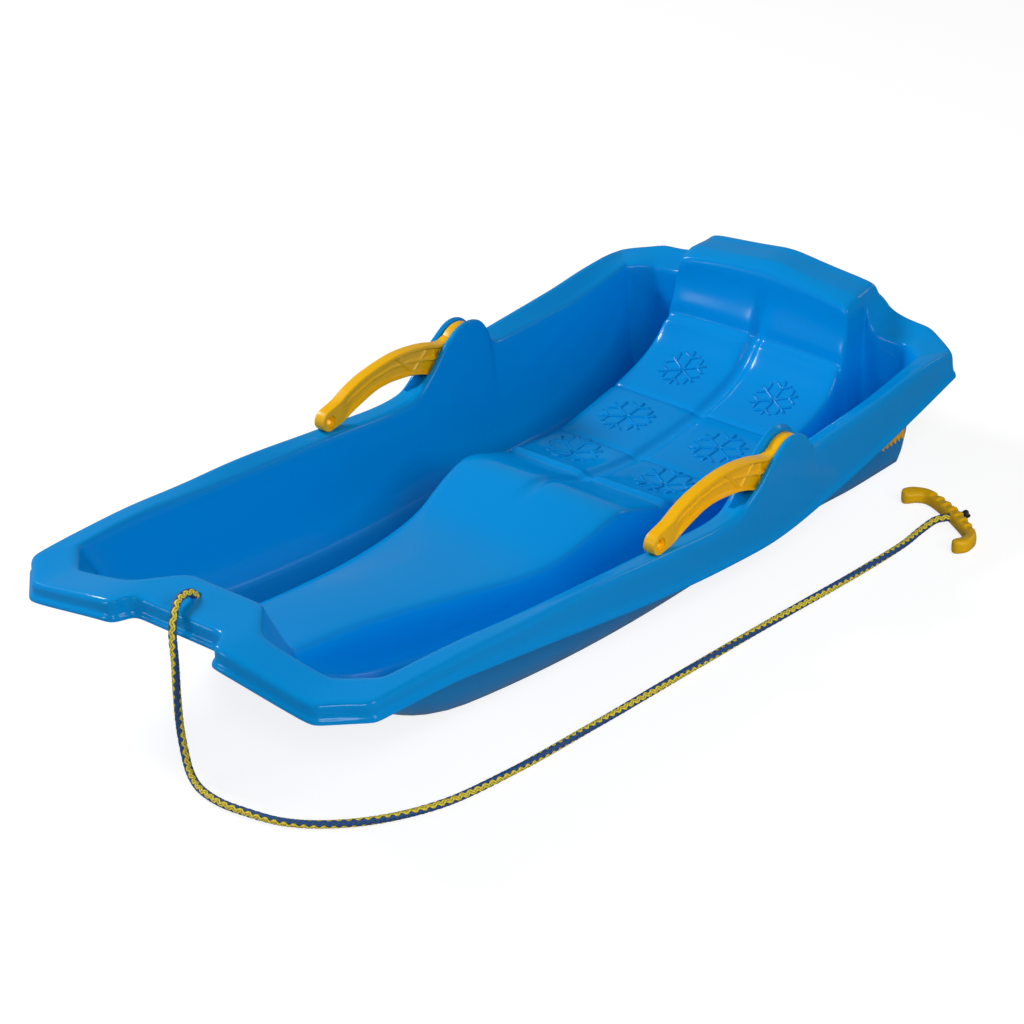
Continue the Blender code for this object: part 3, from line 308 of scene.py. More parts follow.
def newGroup(name, inputs):  # a geometry node tree with named inputs
    group = bpy.data.node_groups.new(name, "GeometryNodeTree")
    group.interface.new_socket("Geometry", in_out="INPUT", socket_type="NodeSocketGeometry")
    for label, kind in inputs:
        group.interface.new_socket(label, in_out="INPUT", socket_type="NodeSocket" + kind)
    group.interface.new_socket("Geometry", in_out="OUTPUT", socket_type="NodeSocketGeometry")
    tree = Tree(group)
    return group, tree, tree.node("NodeGroupInput")


def endGroup(tree, result, given):
    real = tree.node("GeometryNodeRealizeInstances", {}, {"Geometry": result}).out("Geometry")
    painted = tree.node("GeometryNodeSetMaterial", {}, {"Geometry": real, "Material": given.out("Material")})
    tree.node("NodeGroupOutput", {}, {"Geometry": painted.out("Geometry")})


def runGroup(item, group, values):
    step = item.modifiers.new(group.name, "NODES")
    step.node_group = group
    for socket in group.interface.items_tree:
        if socket.in_out == "INPUT" and socket.name in values:
            step[socket.identifier] = values[socket.name]
    return bakeDown(item)


print("helpers ready")

# camera, lights, floor
view = Settings(place=(1.953, 1.580, 1.382), elevation=27.82, azimuth=38.98, lens=117.42, sensor=36.0,
                nearest=0.05)


def addCamera():
    data = bpy.data.cameras.new("photoCamera")
    data.sensor_fit = "HORIZONTAL"
    data.sensor_width = view.sensor
    data.lens = view.lens
    data.clip_start = view.nearest
    tilt, turn = math.radians(view.elevation), math.radians(view.azimuth)
    back = Vector((math.cos(tilt) * math.cos(turn), math.cos(tilt) * math.sin(turn), math.sin(tilt)))
    right = Vector((0.0, 0.0, 1.0)).cross(back).normalized()
    up = back.cross(right)
    item = bpy.data.objects.new("photoCamera", data)
    bpy.context.scene.collection.objects.link(item)
    item.matrix_world = Matrix.Translation(view.place) @ Matrix((right, up, back)).transposed().to_4x4()
    bpy.context.scene.camera = item


seatMiddle = (0.0, 0.0, 0.05)
lamps = [
    Settings(name="keyBox", place=(0.4, -2.0, 1.6), target=seatMiddle, size=0.6, power=45.0),
    Settings(name="cameraBox", place=(1.9, 1.5, 1.7), target=seatMiddle, size=0.6, power=17.5),
    Settings(name="nearBox", place=(0.2, 2.2, 1.1), target=seatMiddle, size=0.6, power=7.5),
    Settings(name="backBox", place=(-1.7, 0.5, 1.1), target=seatMiddle, size=0.5, power=2.0),
    Settings(name="handleBox", place=(0.2, 1.0, 0.9), target=(-0.32, 0.27, 0.0), size=0.4, power=3.5),
    Settings(name="sideBox", place=(1.7, -0.9, 0.50), target=(-0.3, 0.0, 0.10), size=0.3, power=3.8),
]


def addLights():
    for lamp in lamps:
        data = bpy.data.lights.new(lamp.name, "AREA")
        data.shape = "SQUARE"
        data.size = lamp.size
        data.energy = lamp.power
        item = bpy.data.objects.new(lamp.name, data)
        bpy.context.scene.collection.objects.link(item)
        item.location = lamp.place
        away = Vector(lamp.place) - Vector(lamp.target)
        item.rotation_euler = away.to_track_quat("Z", "Y").to_euler()


ground = Settings(
    half=6.0, z=-0.0006, rough=0.9,
    tone=0.29, bounceTone=0.62,  # grey of the floor, and of the light that it throws back on the sled
    glow=0.84, worldLight=0.075,  # white added to the floor where it is seen, and light from all round
    shine=0.16,  # how much of the white a glossy ray meets
)


def whiteSeen(path):  # how much of the white background a ray meets
    return (path.out("Is Camera Ray") + path.out("Is Transmission Ray")
            + path.out("Is Glossy Ray") * ground.shine).limited()


def addWorld():
    world = bpy.data.worlds.new("studio")
    bpy.context.scene.world = world
    world.use_nodes = True
    tree = Tree(world.node_tree)
    shader = world.node_tree.nodes["Background"]
    shader.inputs["Color"].default_value = (1.0, 1.0, 1.0, 1.0)
    seen = whiteSeen(tree.node("ShaderNodeLightPath"))
    tree.feed(shader, "Strength", seen * (1.0 - ground.worldLight) + ground.worldLight)


def addFloor():
    material, tree, base = newMaterial("paleFloor", (ground.tone,) * 3, ground.rough, specular=0.0)
    path = tree.node("ShaderNodeLightPath")
    tone = path.out("Is Diffuse Ray") * (ground.bounceTone - ground.tone) + ground.tone
    tree.feed(base, "Base Color", tone * (1.0 - path.out("Is Glossy Ray") * (1.0 - ground.shine)))
    glow = tree.node("ShaderNodeEmission", {}, {"Color": (1.0, 1.0, 1.0, 1.0),
                                                "Strength": whiteSeen(path) * ground.glow})
    both = tree.node("ShaderNodeAddShader", {}, {0: Wire(tree, base.outputs[0]), 1: glow.out(0)})
    tree.feed(material.node_tree.nodes["Material Output"], "Surface", both.out(0))
    h = ground.half
    floor = addMeshObject("floor", [(x, y, ground.z) for x, y in ((-h, -h), (h, -h), (h, h), (-h, h))],
                          [(0, 1, 2, 3)], material)


addCamera()
addLights()
addWorld()
addFloor()
bpy.context.scene.view_settings.view_transform = "Standard"
print("camera, lights and floor placed")

# finishes: a colour with a deeper tone mottled into it, and how strong the orange peel and the shine are
finishes = Settings(
    hullBlue=Settings(colour=(0.0, 0.303, 0.775), deep=(0.0, 0.286, 0.750), rough=0.15, peel=0.05,
                      specular=0.15),
    brakeYellow=Settings(colour=(1.0, 0.54, 0.0), deep=(0.98, 0.50, 0.0), rough=0.32, peel=0.12,
                         specular=0.35),
    handleYellow=Settings(colour=(1.0, 0.56, 0.0), deep=(0.98, 0.52, 0.0), rough=0.34, peel=0.12,
                          specular=0.35),
    meltedEnd=Settings(colour=(0.022, 0.026, 0.040), deep=(0.012, 0.013, 0.020), rough=0.45, peel=0.4,
                       specular=0.5),
)
grain = Settings(mottleScale=9.0, mottleDetail=2.0, mottleGloss=0.06, peelScale=420.0, peelDetail=1.0,
                 peelGloss=0.05, peelDepth=0.0002)


# Moulded plastic: faint mottling in colour and gloss, and a very fine orange peel
def mouldedPlastic(name):
    finish = finishes[name]
    material, tree, shader = newMaterial(name, finish.colour, finish.rough, finish.specular)
    place = tree.node("ShaderNodeTexCoord").out("Object")
    mottle = tree.noise(place, grain.mottleScale, grain.mottleDetail)
    peel = tree.noise(place, grain.peelScale, grain.peelDetail)
    tree.feed(shader, "Base Color", tree.mixed(mottle, finish.colour, finish.deep))
    rough = (mottle - 0.5) * grain.mottleGloss + (peel - 0.5) * grain.peelGloss + finish.rough
    tree.feed(shader, "Roughness", rough)
    tree.feed(shader, "Normal", tree.bump(peel, finish.peel, grain.peelDepth))
    return material


hullBlue = mouldedPlastic("hullBlue")
brakeYellow = mouldedPlastic("brakeYellow")
handleYellow = mouldedPlastic("handleYellow")
meltedEnd = mouldedPlastic("meltedEnd")
print("finishes mixed")

# rope: yellow and navy stripes that zigzag and turn slowly round a solid braid
rope = Settings(
    length=1.055, diameter=0.007,  # the cord as the CAD has it
    radius=0.0030, relief=0.00042, seamDrop=0.8, seamPower=4.0, sides=24, step=0.0008, routeSteps=24,
    stripes=4, pitch=0.0074, zigzag=0.20, strandLean=1.4,  # every second stripe is yellow
    hangs=0.17, hangTurn=0.262, layTurn=0.41,  # how much hangs, and the stripes' turn there and beyond
    start=41.424,  # the stripe at the rope's start, high enough that none is below 0
    yellow=(1.0, 0.80, 0.060), navy=(0.020, 0.105, 0.34), dark=(0.006, 0.010, 0.022),
    # painted shade in the gaps between stripes, down a stripe's middle and in the valleys between strands
    # (dark is its colour): from or up to where, and how dark
    seamFrom=0.39, seamSteep=10.0, middleTo=0.09, middleSteep=12.0, middleDark=0.8,
    valleyTo=0.45, valleyDark=0.6,
    fibreScale=2600.0, fibreDetail=1.0, ridgeBump=0.8, fibreBump=0.25, bump=0.7, bumpDepth=0.0003,
    rough=0.6, fibreRough=0.2,
)
ropeRoute = [
    (0.3728, -0.0105, 0.1294), (0.3728, -0.0105, 0.1336), (0.3775, -0.0101, 0.1384),
    (0.3840, -0.0094, 0.1406), (0.3925, -0.0075, 0.1409), (0.4000, -0.0040, 0.1396),
    (0.4062, -0.0002, 0.1362), (0.4102, 0.0018, 0.1303), (0.4118, 0.0026, 0.1210),
    (0.4120, 0.0038, 0.0985), (0.4120, 0.0042, 0.0635), (0.4120, 0.0056, 0.0405),
    (0.4124, 0.0092, 0.0216), (0.4149, 0.0155, 0.0088), (0.4198, 0.0255, 0.0044),
    (0.4258, 0.0400, 0.0038), (0.4292, 0.0629, 0.0038), (0.4268, 0.0857, 0.0038),
    (0.4195, 0.1162, 0.0038), (0.4035, 0.1419, 0.0038), (0.3731, 0.1700, 0.0038),
    (0.3248, 0.1940, 0.0038), (0.2603, 0.2060, 0.0038), (0.1637, 0.2141, 0.0038),
    (0.0441, 0.2212, 0.0038), (-0.0704, 0.2287, 0.0038), (-0.1696, 0.2361, 0.0038),
    (-0.2451, 0.2389, 0.0038), (-0.2760, 0.2372, 0.0046), (-0.2959, 0.2398, 0.0071),
    (-0.3058, 0.2457, 0.0071), (-0.3172, 0.2526, 0.0071),
]


# Which stripe a place on the braid is in, how far it is from the stripe's middle, and the strands' ridges
def braidPattern(tree, along, ring):
    parts = tree.node("ShaderNodeSeparateXYZ", {}, {0: ring})
    turned = tree.maths("ARCTAN2", parts.out(1), parts.out(0)) / math.tau
    strand = along / rope.pitch
    zigzag = (strand * math.tau).sine() * rope.zigzag
    hanging = tree.maths("MINIMUM", along, rope.hangs)
    twist = along / rope.layTurn + hanging * (1.0 / rope.hangTurn - 1.0 / rope.layTurn)
    stripe = (turned - twist) * rope.stripes + zigzag + rope.start
    aside = abs(stripe.fraction() - 0.5)
    ridge = abs(((strand * 2.0 + aside * rope.strandLean) * math.pi).sine())
    return stripe, aside, ridge


def makeBraidMaterial():
    material, tree, shader = newMaterial("ropeBraid", rope.yellow, rope.rough)
    along = tree.node("ShaderNodeAttribute", {"attribute_name": "braidAlong"}).out("Fac")
    ring = tree.node("ShaderNodeAttribute", {"attribute_name": "braidRing"}).out("Vector")
    stripe, aside, ridge = braidPattern(tree, along, ring)
    isYellow = (stripe / 2.0).fraction() > 0.5
    colour = tree.mixed(isYellow, rope.navy, rope.yellow)
    # painted shade: the colour is darkened toward rope.dark in the gaps between stripes, down each stripe's
    # middle (crease) and in the valleys between strands, where shade falls on the braid
    shade = {"stops": [(0.0, (1, 1, 1, 1)), (rope.valleyTo, (0, 0, 0, 1))]}
    valleyShade = tree.node("ShaderNodeValToRGB", shade, {0: ridge}).out(0)
    gapShade = ((aside - rope.seamFrom) * rope.seamSteep).limited()
    crease = ((rope.middleTo - aside) * rope.middleSteep).limited()
    dark = (valleyShade * rope.valleyDark + (gapShade + crease * rope.middleDark)).limited()
    tree.feed(shader, "Base Color", tree.mixed(dark, colour, rope.dark))
    place = tree.node("ShaderNodeTexCoord").out("Object")
    fibre = tree.noise(place, rope.fibreScale, rope.fibreDetail)
    height = ridge * rope.ridgeBump + fibre * rope.fibreBump
    tree.feed(shader, "Normal", tree.bump(height, rope.bump, rope.bumpDepth))
    tree.feed(shader, "Roughness", fibre * rope.fibreRough + rope.rough)
    return material


def makeBraidGroup():
    group, tree, given = newGroup("braidTube", [("Radius", "Float"), ("Step", "Float"), ("Relief", "Float"),
                                                ("Sides", "Int"), ("Material", "Material")])
    line = tree.node("GeometryNodeMeshToCurve", {}, {"Mesh": given.out("Geometry")}).out(0)
    even = tree.node("GeometryNodeResampleCurve", {"mode": "LENGTH"},
                     {"Curve": line, "Length": given.out("Step")})
    length = tree.node("GeometryNodeSplineParameter").out("Length")
    measured = tree.stored("FLOAT", even.out(0), "braidAlong", length)
    circle = tree.node("GeometryNodeCurvePrimitiveCircle", {"mode": "RADIUS"},
                       {"Resolution": given.out("Sides"), "Radius": given.out("Radius")})
    place = tree.node("GeometryNodeInputPosition").out(0)
    ringed = tree.stored("FLOAT_VECTOR", circle.out("Curve"), "braidRing", place)
    tube = tree.node("GeometryNodeCurveToMesh", {},
                     {"Curve": measured, "Profile Curve": ringed, "Fill Caps": True})
    along, ring = tree.recalled("FLOAT", "braidAlong"), tree.recalled("FLOAT_VECTOR", "braidRing")
    aside, ridge = braidPattern(tree, along, ring)[1:]
    lift = (ridge - tree.maths("POWER", aside * 2.0, rope.seamPower) * rope.seamDrop) * given.out("Relief")
    facing = tree.node("GeometryNodeInputNormal").out(0)
    shaped = tree.node("GeometryNodeSetPosition", {},
                       {"Geometry": tube.out(0), "Offset": tree.scaled(facing, lift)})
    endGroup(tree, shaped.out(0), given)
    return group


def makeTube(name, points, radius, closed=False):
    edges = [(k, k + 1) for k in range(len(points) - 1)] + ([(len(points) - 1, 0)] if closed else [])
    mesh = bpy.data.meshes.new(name)
    mesh.from_pydata([tuple(p) for p in points], edges, [])
    line = bpy.data.objects.new(name, mesh)
    bpy.context.scene.collection.objects.link(line)
    tube = runGroup(line, braidGroup, {"Radius": radius, "Step": rope.step, "Sides": rope.sides,
                                       "Relief": rope.relief * radius / rope.radius, "Material": ropeBraid})
    tube.data.shade_smooth()
    return tube


knot = Settings(tube=0.0023, spread=0.00175, rise=0.0024, points=120, nosePlace=(0.3728, -0.0105, 0.1227),
                handlePlace=(-0.3206, 0.2547, 0.0066), handleTurn=59.0, handleScale=0.62, melt=0.00025)


def makeKnot(name, centre, turn, scale=1.0):  # a trefoil pulled tight
    points = []
    for k in range(knot.points):
        t = math.tau * k / knot.points
        flat = Vector((math.sin(t) + 2.0 * math.sin(2.0 * t), math.cos(t) - 2.0 * math.cos(2.0 * t), 0.0))
        point = flat * knot.spread + Vector((0.0, 0.0, -knot.rise * math.sin(3.0 * t)))
        points.append(Vector(centre) + turn @ point * scale)
    return makeTube(name, points, knot.tube * scale, closed=True)


def meltDown(item):  # the loops run together, as where a cut rope is sealed with a flame
    step = item.modifiers.new("melt", "REMESH")
    step.mode = "VOXEL"
    step.voxel_size = knot.melt
    step.use_smooth_shade = True
    item = bakeDown(item)
    item.data.materials.clear()
    item.data.materials.append(meltedEnd)
    return item


ropeBraid = makeBraidMaterial()
braidGroup = makeBraidGroup()
ropeLine = curveThrough(ropeRoute, rope.routeSteps)
towRope = makeTube("towRope", ropeLine, rope.radius)
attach(towRope, "sled")
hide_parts("tow_rope")
noseKnot = makeKnot("noseKnot", knot.nosePlace, Matrix.Identity(3))
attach(noseKnot, "sled")
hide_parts("nose_knot")
onEdge = Matrix.Rotation(math.radians(knot.handleTurn), 3, "Z") @ Matrix.Rotation(math.radians(90.0), 3, "X")
handleKnot = meltDown(makeKnot("handleKnot", knot.handlePlace, onEdge, knot.handleScale))
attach(handleKnot, "sled")
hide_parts("handle_knot")
print("rope: %d faces" % len(towRope.data.polygons))

# tow handle: a bowed grip with finger ridges over its outer top edge
grip = Settings(
    place=(-0.3080, 0.2468, 0.0071), turn=59.0, half=0.0066, steps=16, ring=40,
    square=2.9,  # how square the section is, where 2 is round
    endTall=0.80, endRise=0.20, endRun=1.6,  # height at the hooks' ends, what it gains, over how many keys
    lean=0.22, leanAcross=(0.8, -1.0), leanUp=(0.0, 0.6),  # how the top slopes down to the inner side
    ridges=7, ridgeStep=0.0106, ridgeDepth=0.0024, ridgeRise=0.80, ridgeFade=0.004, topCut=0.7,
    ridgeUp=(-0.10, 0.60), ridgeAcross=(-0.80, -0.30), thinnest=0.003,
    hole=0.0039, holeInner=0.012, holeOuter=0.02, holeSides=24, sharp=50.0,
    inner=[(0.0, -0.0025), (0.0148, -0.0031), (0.0265, -0.0039), (0.0340, -0.0049), (0.0390, -0.0070),
           (0.0414, -0.0105), (0.0425, -0.0140), (0.0427, -0.0175), (0.0440, -0.0206), (0.0466, -0.0227),
           (0.0490, -0.0234)],
    outer=[(0.0, 0.0105), (0.0155, 0.0091), (0.0299, 0.0071), (0.0399, 0.0044), (0.0480, 0.0004),
           (0.0527, -0.0050), (0.0560, -0.0105), (0.0565, -0.0160), (0.0552, -0.0204), (0.0522, -0.0228),
           (0.0494, -0.0234)],
)


def gripRidge(along):  # depth of the finger ridges' saw shape at a place along the grip
    reach = grip.ridges * grip.ridgeStep / 2.0
    if abs(along) > reach:
        return 0.0
    phase = (along + reach) / grip.ridgeStep % 1.0
    drop = 1.0 - grip.ridgeRise
    saw = fade(phase, 0.0, drop) if phase < drop else (1.0 - phase) / grip.ridgeRise
    return grip.ridgeDepth * saw * fade(abs(along), reach, reach - grip.ridgeFade)


def gripRing(inner, outer, fromEnd):  # one squarish section, with the ridges cut from its outer top edge
    tall = grip.half * (grip.endTall + grip.endRise * fade(fromEnd, 0.0, grip.endRun))
    middle, reach = (inner + outer) * 0.5, (outer - inner) * 0.5
    ring = []
    for n in range(grip.ring):
        angle = math.tau * n / grip.ring
        across, up = (math.copysign(abs(w) ** (2.0 / grip.square), w)
                      for w in (math.cos(angle), math.sin(angle)))
        cut = gripRidge(middle.x + across * reach.x)
        cut *= fade(up, *grip.ridgeUp)
        cut *= fade(across, *grip.ridgeAcross)
        slope = 1.0 - grip.lean * fade(across, *grip.leanAcross) * fade(up, *grip.leanUp)
        place = middle + reach * across * (1.0 - cut / max(reach.length, grip.thinnest))
        place.z = up * (tall * slope - cut * grip.topCut)
        ring.append(place)
    return ring


def makeGrip():
    inner, outer = (curveThrough([(*p, 0.0) for p in side], grip.steps) for side in (grip.inner, grip.outer))
    pairs = list(zip(inner, outer))
    pairs = [(Vector((-a.x, a.y, 0.0)), Vector((-b.x, b.y, 0.0))) for a, b in pairs[:0:-1]] + pairs
    turn = Matrix.Rotation(math.radians(grip.turn), 3, "Z")
    centre = Vector(grip.place)
    points = []
    for k, (inner, outer) in enumerate(pairs):
        fromEnd = min(k, len(pairs) - 1 - k) / grip.steps
        points += [centre + turn @ place for place in gripRing(inner, outer, fromEnd)]
    handle = addMeshObject("towHandle", points, tubeFaces(len(pairs), grip.ring), handleYellow)
    axis = turn @ Vector((0.0, 1.0, 0.0))
    hole = rod("gripHole", centre - axis * grip.holeInner, centre + axis * grip.holeOuter, grip.hole,
               grip.holeSides, handleYellow)
    handle = carve(handle, [hole])
    shadeSharp(handle, grip.sharp)
    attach(handle, "sled")
    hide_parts("tow_handle")
    print("handle: %d faces" % len(handle.data.polygons))
    return handle


towHandle = makeGrip()

# hull: heights and half widths along its length, then half loops round its nose and tail
hull = Settings(
    tailX=-0.424, wall=0.003, flare=0.0025, lip=0.0030, lipOut=0.0030, lipRise=1.7, skirtRow=0.25, sharp=42.0,
    rimInRound=0.007, rimOutRound=0.0046, rimRows=(0.30, 0.52, 0.74), innerOverhang=0.0018,
    creaseHeight=0.25, creaseRun=0.3, creaseRunSide=0.5, wallRowLow=0.42, wallRowHigh=0.55,
    floorFrom=-0.030, floorRise=0.30, noseFrom=0.2285, noseRise=2.5,  # where the floor rises and how steeply
    footRise=0.0035, footRun=0.005, cornerRun=0.013, cornerIn=0.0045, cornerRise=0.0010,
    noseRimZ=0.117, noseCrown=0.018, innerCrown=0.017, crownFrom=0.150, crownTo=0.055, noseSkirtZ=0.0995,
    skirtCrown=0.017, noseOuterFall=0.0010, holeRadius=0.0056, holeLow=0.10, holeHigh=0.15, holeSides=32,
    backFrom=-0.287, backTo=-0.372, tuck=0.004, tuckX=(-0.355, -0.372),
    tailSkirtZ=0.0955, headDip=0.0025, headCrown=0.0098, headBase=0.003,
    levels=2, weld=1e-5,  # subdivisions of the cage, and how near points of its two halves are joined
)
rimKeys = [(0.350, 0.117), (0.2818, 0.115), (0.1965, 0.106), (0.0258, 0.0913), (-0.050, 0.0845),
           (-0.064, 0.0851), (-0.095, 0.0935), (-0.1475, 0.1013), (-0.200, 0.1032), (-0.2806, 0.105),
           (-0.373, 0.116)]
outerRiseKeys = [(0.318, -0.001), (0.244, 0.0), (0.140, 0.0042), (0.026, 0.001), (-0.0605, 0.001),
                 (-0.200, 0.0055), (-0.312, 0.0088), (-0.373, 0.0040), (-0.396, 0.0015)]
skirtKeys = [(0.3845, 0.0995), (0.318, 0.0977), (0.2192, 0.0849), (0.0467, 0.058), (-0.0503, 0.0473),
             (-0.115, 0.0434), (-0.2355, 0.0577), (-0.322, 0.0748), (-0.3995, 0.0925)]
skirtWidthKeys = [(0.3905, 0.1766), (0.3850, 0.1824), (0.3770, 0.1832), (0.2486, 0.1882), (-0.050, 0.1905),
                  (-0.3995, 0.189)]
innerWidthKeys = [(0.3550, 0.1550), (0.3500, 0.1602), (0.3420, 0.1609), (0.2486, 0.1647), (-0.030, 0.1668),
                  (-0.100, 0.1654), (-0.200, 0.1648), (-0.310, 0.1624), (-0.3728, 0.1622)]
floorWidthKeys = [(0.3195, 0.1320), (0.3150, 0.1345), (0.3105, 0.1350), (0.187, 0.1361), (-0.050, 0.1385),
                  (-0.200, 0.1395), (-0.260, 0.1425), (-0.300, 0.1460), (-0.372, 0.1475)]
# where a row at one x on the island meets the wall's foot, the rim's inner edge and its outer edge
frontRows = [
    (0.3165, 0.3195, 0.3550, 0.3905), (0.3145, 0.3150, 0.3500, 0.3850), (0.3115, 0.3105, 0.3420, 0.3770),
    (0.3060, 0.3030, 0.3300, 0.3620), (0.2980, 0.2940, 0.3150, 0.3420), (0.2865, 0.2830, 0.2980, 0.3180),
    (0.2700, 0.2680, 0.2780, 0.2910), (0.2500, 0.2500, 0.2560, 0.2630), (0.2280, 0.2280, 0.2305, 0.2335),
]
plainRows = [0.205, 0.180, 0.155, 0.130, 0.105, 0.082, 0.062, 0.045, 0.030, 0.016, 0.002, -0.012, -0.026,
             -0.038, -0.050]
rearInner = [(-0.3720, -0.3728), (-0.340, -0.3405), (-0.287, -0.287), (0.3, 0.3)]
rearOuter = [(-0.3720, -0.3955), (-0.3665, -0.3890), (-0.355, -0.3715), (-0.330, -0.3380), (-0.287, -0.287),
             (0.3, 0.3)]


def rimHeight(x):
    return valueAt(rimKeys, x)


def floorHeight(x):
    return (hull.wall + hull.floorRise * max(x - hull.floorFrom, 0.0) ** 2
            + hull.noseRise * max(x - hull.noseFrom, 0.0) ** 2)


# ears: two upright plates on each side, with the lever's slot between them
ear = Settings(
    pivot=(-0.143, 0.178, 0.105), inner=(0.1650, 0.031), outer=(0.1889, 0.0282),  # y and radius of each plate
    roundTo=48.0, front=0.072, drop=0.021, end=0.012, endShare=-1.4,
    shoulder=[(0.669, 0.743), (1.10, 0.46)],  # along and up, in radii
    slope=[(0.65, 0.05), (0.30, -0.5), (0.0, -0.9)],  # shares of the way back from the front and of the drop
    fillet=0.012, filletReach=0.0135, filletRun=0.020, filletOver=0.0065,
    full=0.010, roundIn=0.0034, roundOut=0.0022, outerIn=0.0001,  # an ear this high has its own rounding
    crests=[(0.1692, 0.0004), (0.1722, 0.0030), (0.1838, 0.0026)],  # y of rows across the top, and their fall
    solidBack=-0.036, solidFront=0.004, solidY=0.158, solidFall=0.02,
    rows=[0.080, 0.071, 0.063, 0.056, 0.0495, 0.0451, 0.0425, 0.0399, 0.0355, 0.030, 0.0245, 0.019,
          0.013, 0.006, -0.001, -0.008, -0.0145, -0.020, -0.0245, -0.0284, -0.031, -0.0336, -0.037, -0.043],
    slot=(0.1719, 0.1841), socket=(0.1660, 0.1873), socketRadius=0.0033, socketSides=24,
    slotShape=[(-0.033, -0.045), (0.040, -0.045), (0.040, -0.0117), (0.070, -0.0190), (0.070, 0.045),
               (-0.033, 0.045)],
)


def earTop(x, radius):  # height of an ear's outline over its pivot
    u = x - ear.pivot[0]
    if u <= radius * math.cos(math.radians(ear.roundTo)):
        return math.sqrt(max(radius**2 - u**2, 0.0))
    keys = [(along * radius, up * radius) for along, up in ear.shoulder]
    keys += [(blend(ear.front, radius, back), share * ear.drop) for back, share in ear.slope]
    keys.append((ear.front + ear.end, ear.endShare * ear.drop))
    return valueAt(keys, u)


def earRise(x, radius, top):  # how far an ear stands over the rim
    u = x - ear.pivot[0]
    if u > ear.front + ear.end:
        return 0.0
    behind = limit((u + radius + ear.filletReach) / ear.filletRun, 0.0, 1.0)
    fillet = ear.fillet * behind**2 if u < ear.filletOver - radius else 0.0
    return max(fillet, ear.pivot[2] + earTop(x, radius) - top if u >= -radius else 0.0)


# seat: the island from the leg hump to the headrest, with its pads, seams and groove
seat = Settings(
    steps=24, stepX=-0.1005, seamXs=(-0.174, -0.268), backX=-0.30, backSeamZ=0.0885, slopeReach=0.003,
    panelRaise=0.0012, panelEnd=0.006, padDish=0.0055, dishGap=0.008, dishShort=0.012,
    grooveDepth=0.0034, grooveFrom=(-0.006, -0.041), grooveTo=(0.130, 0.100), grooveDeeper=1.35,
    grooveDeepRun=0.05,
    # heights across the step before the pads, a seam between pads, and the seam below the headrest
    stepShape=[(-0.010, 0.0), (-0.004, -0.0014), (-0.0008, -0.0012), (0.0024, 0.0020), (0.0052, 0.0014),
               (0.012, 0.0)],
    seamShape=[(-0.006, 0.0), (-0.0026, -0.0006), (0.0, -0.0030), (0.0026, -0.0004), (0.0045, 0.0006),
               (0.009, 0.0)],
    backSeamShape=[(-0.006, 0.0003), (-0.0026, 0.0), (0.0, -0.0026), (0.0045, -0.0040), (0.009, -0.0022),
                   (0.016, 0.0)],
    # rows across a seam, across the seam below the headrest, and up to the profile's end
    seamRows=(-0.006, -0.0026, 0.0, 0.0026, 0.0065), topRows=(-0.012, -0.0075, -0.004),
    backSeamRows=(-0.006, -0.0026, 0.0, 0.0045, 0.009, 0.016),
    # where rows lie between seams: over the middle pads, over the upper pads and up the headrest
    midPadRows=(0.27, 0.55, 0.8), upperPadRows=(0.2, 0.4, 0.6, 0.8), headrestRows=(0.33, 0.66, 1.0),
    # columns from the middle out: four over the groove, two over the pad, and three over the shoulder
    grooveYs=(0.0, 0.0038, 0.0074, 0.0110), padShares=(0.36, 0.72), shoulderIns=(0.0075, 0.0022, 0.0),
    drops=(0.0, 0.0, 0.0, 0.0, 0.0, 0.0, 0.0, 0.0020, 0.0078),
    cuts=(1.0, 0.80, 0.14, -0.06, 0.0, 0.0, 0.0, 0.0, 0.0),
    lifts=(0.75, 0.75, 0.75, 1.0, 1.0, 1.0, 1.0, 1.0, 0.6),
    hollows=(0.0, 0.0, 0.0, 0.0, 1.0, 1.0, 0.0, 0.0, 0.0),
    sideFoot=0.010, sideLean=0.07, footOut=0.0035, footUp=0.0018,
)
# x, height, half width, crown of the top, set-back of the middle
islandKeys = [
    (0.3180, 0.0790, 0.0430, 0.0020, 0.0), (0.2337, 0.0685, 0.0453, 0.0030, 0.0),
    (0.1494, 0.0567, 0.0558, 0.0030, 0.0), (0.0700, 0.0480, 0.0715, 0.0030, 0.0),
    (0.0330, 0.0495, 0.0780, 0.0030, 0.0), (-0.0013, 0.0595, 0.0839, 0.0030, 0.0),
    (-0.0380, 0.0685, 0.0870, 0.0030, 0.0), (-0.0690, 0.0604, 0.0870, 0.0010, 0.0),
    (-0.1000, 0.0505, 0.0870, -0.0010, 0.0), (-0.1800, 0.0405, 0.0921, -0.0010, 0.0),
    (-0.2399, 0.0442, 0.0978, -0.0010, 0.0), (-0.2870, 0.0510, 0.1005, -0.0010, 0.0010),
    (-0.3308, 0.0682, 0.1005, 0.0, 0.0030), (-0.3495, 0.0940, 0.0980, 0.0, 0.0040),
    (-0.3601, 0.1202, 0.0969, 0.0027, 0.0050), (-0.3620, 0.1425, 0.0950, 0.0072, 0.0060),
    (-0.3680, 0.1485, 0.0950, 0.0090, 0.0060),
]


def fineProfile():  # the island's profile as a fine line, with its length from the front
    line = curveThrough([Vector(key) for key in islandKeys], seat.steps)
    run = [0.0]
    for a, b in zip(line, line[1:]):
        run.append(run[-1] + math.hypot(b[0] - a[0], b[1] - a[1]))
    return line, run


profileLine, profileRun = fineProfile()


def profileAt(s):
    s = limit(s, 0.0, profileRun[-1])
    lo, hi = 0, len(profileRun) - 1
    while hi - lo > 1:
        mid = (lo + hi) // 2
        if profileRun[mid] <= s:
            lo = mid
        else:
            hi = mid
    t = (s - profileRun[lo]) / max(profileRun[hi] - profileRun[lo], 1e-9)
    return profileLine[lo].lerp(profileLine[hi], t)


def runWhere(test):
    return next(run for point, run in zip(profileLine, profileRun) if test(point))


def runAt(x):
    return runWhere(lambda p: p[0] <= x)


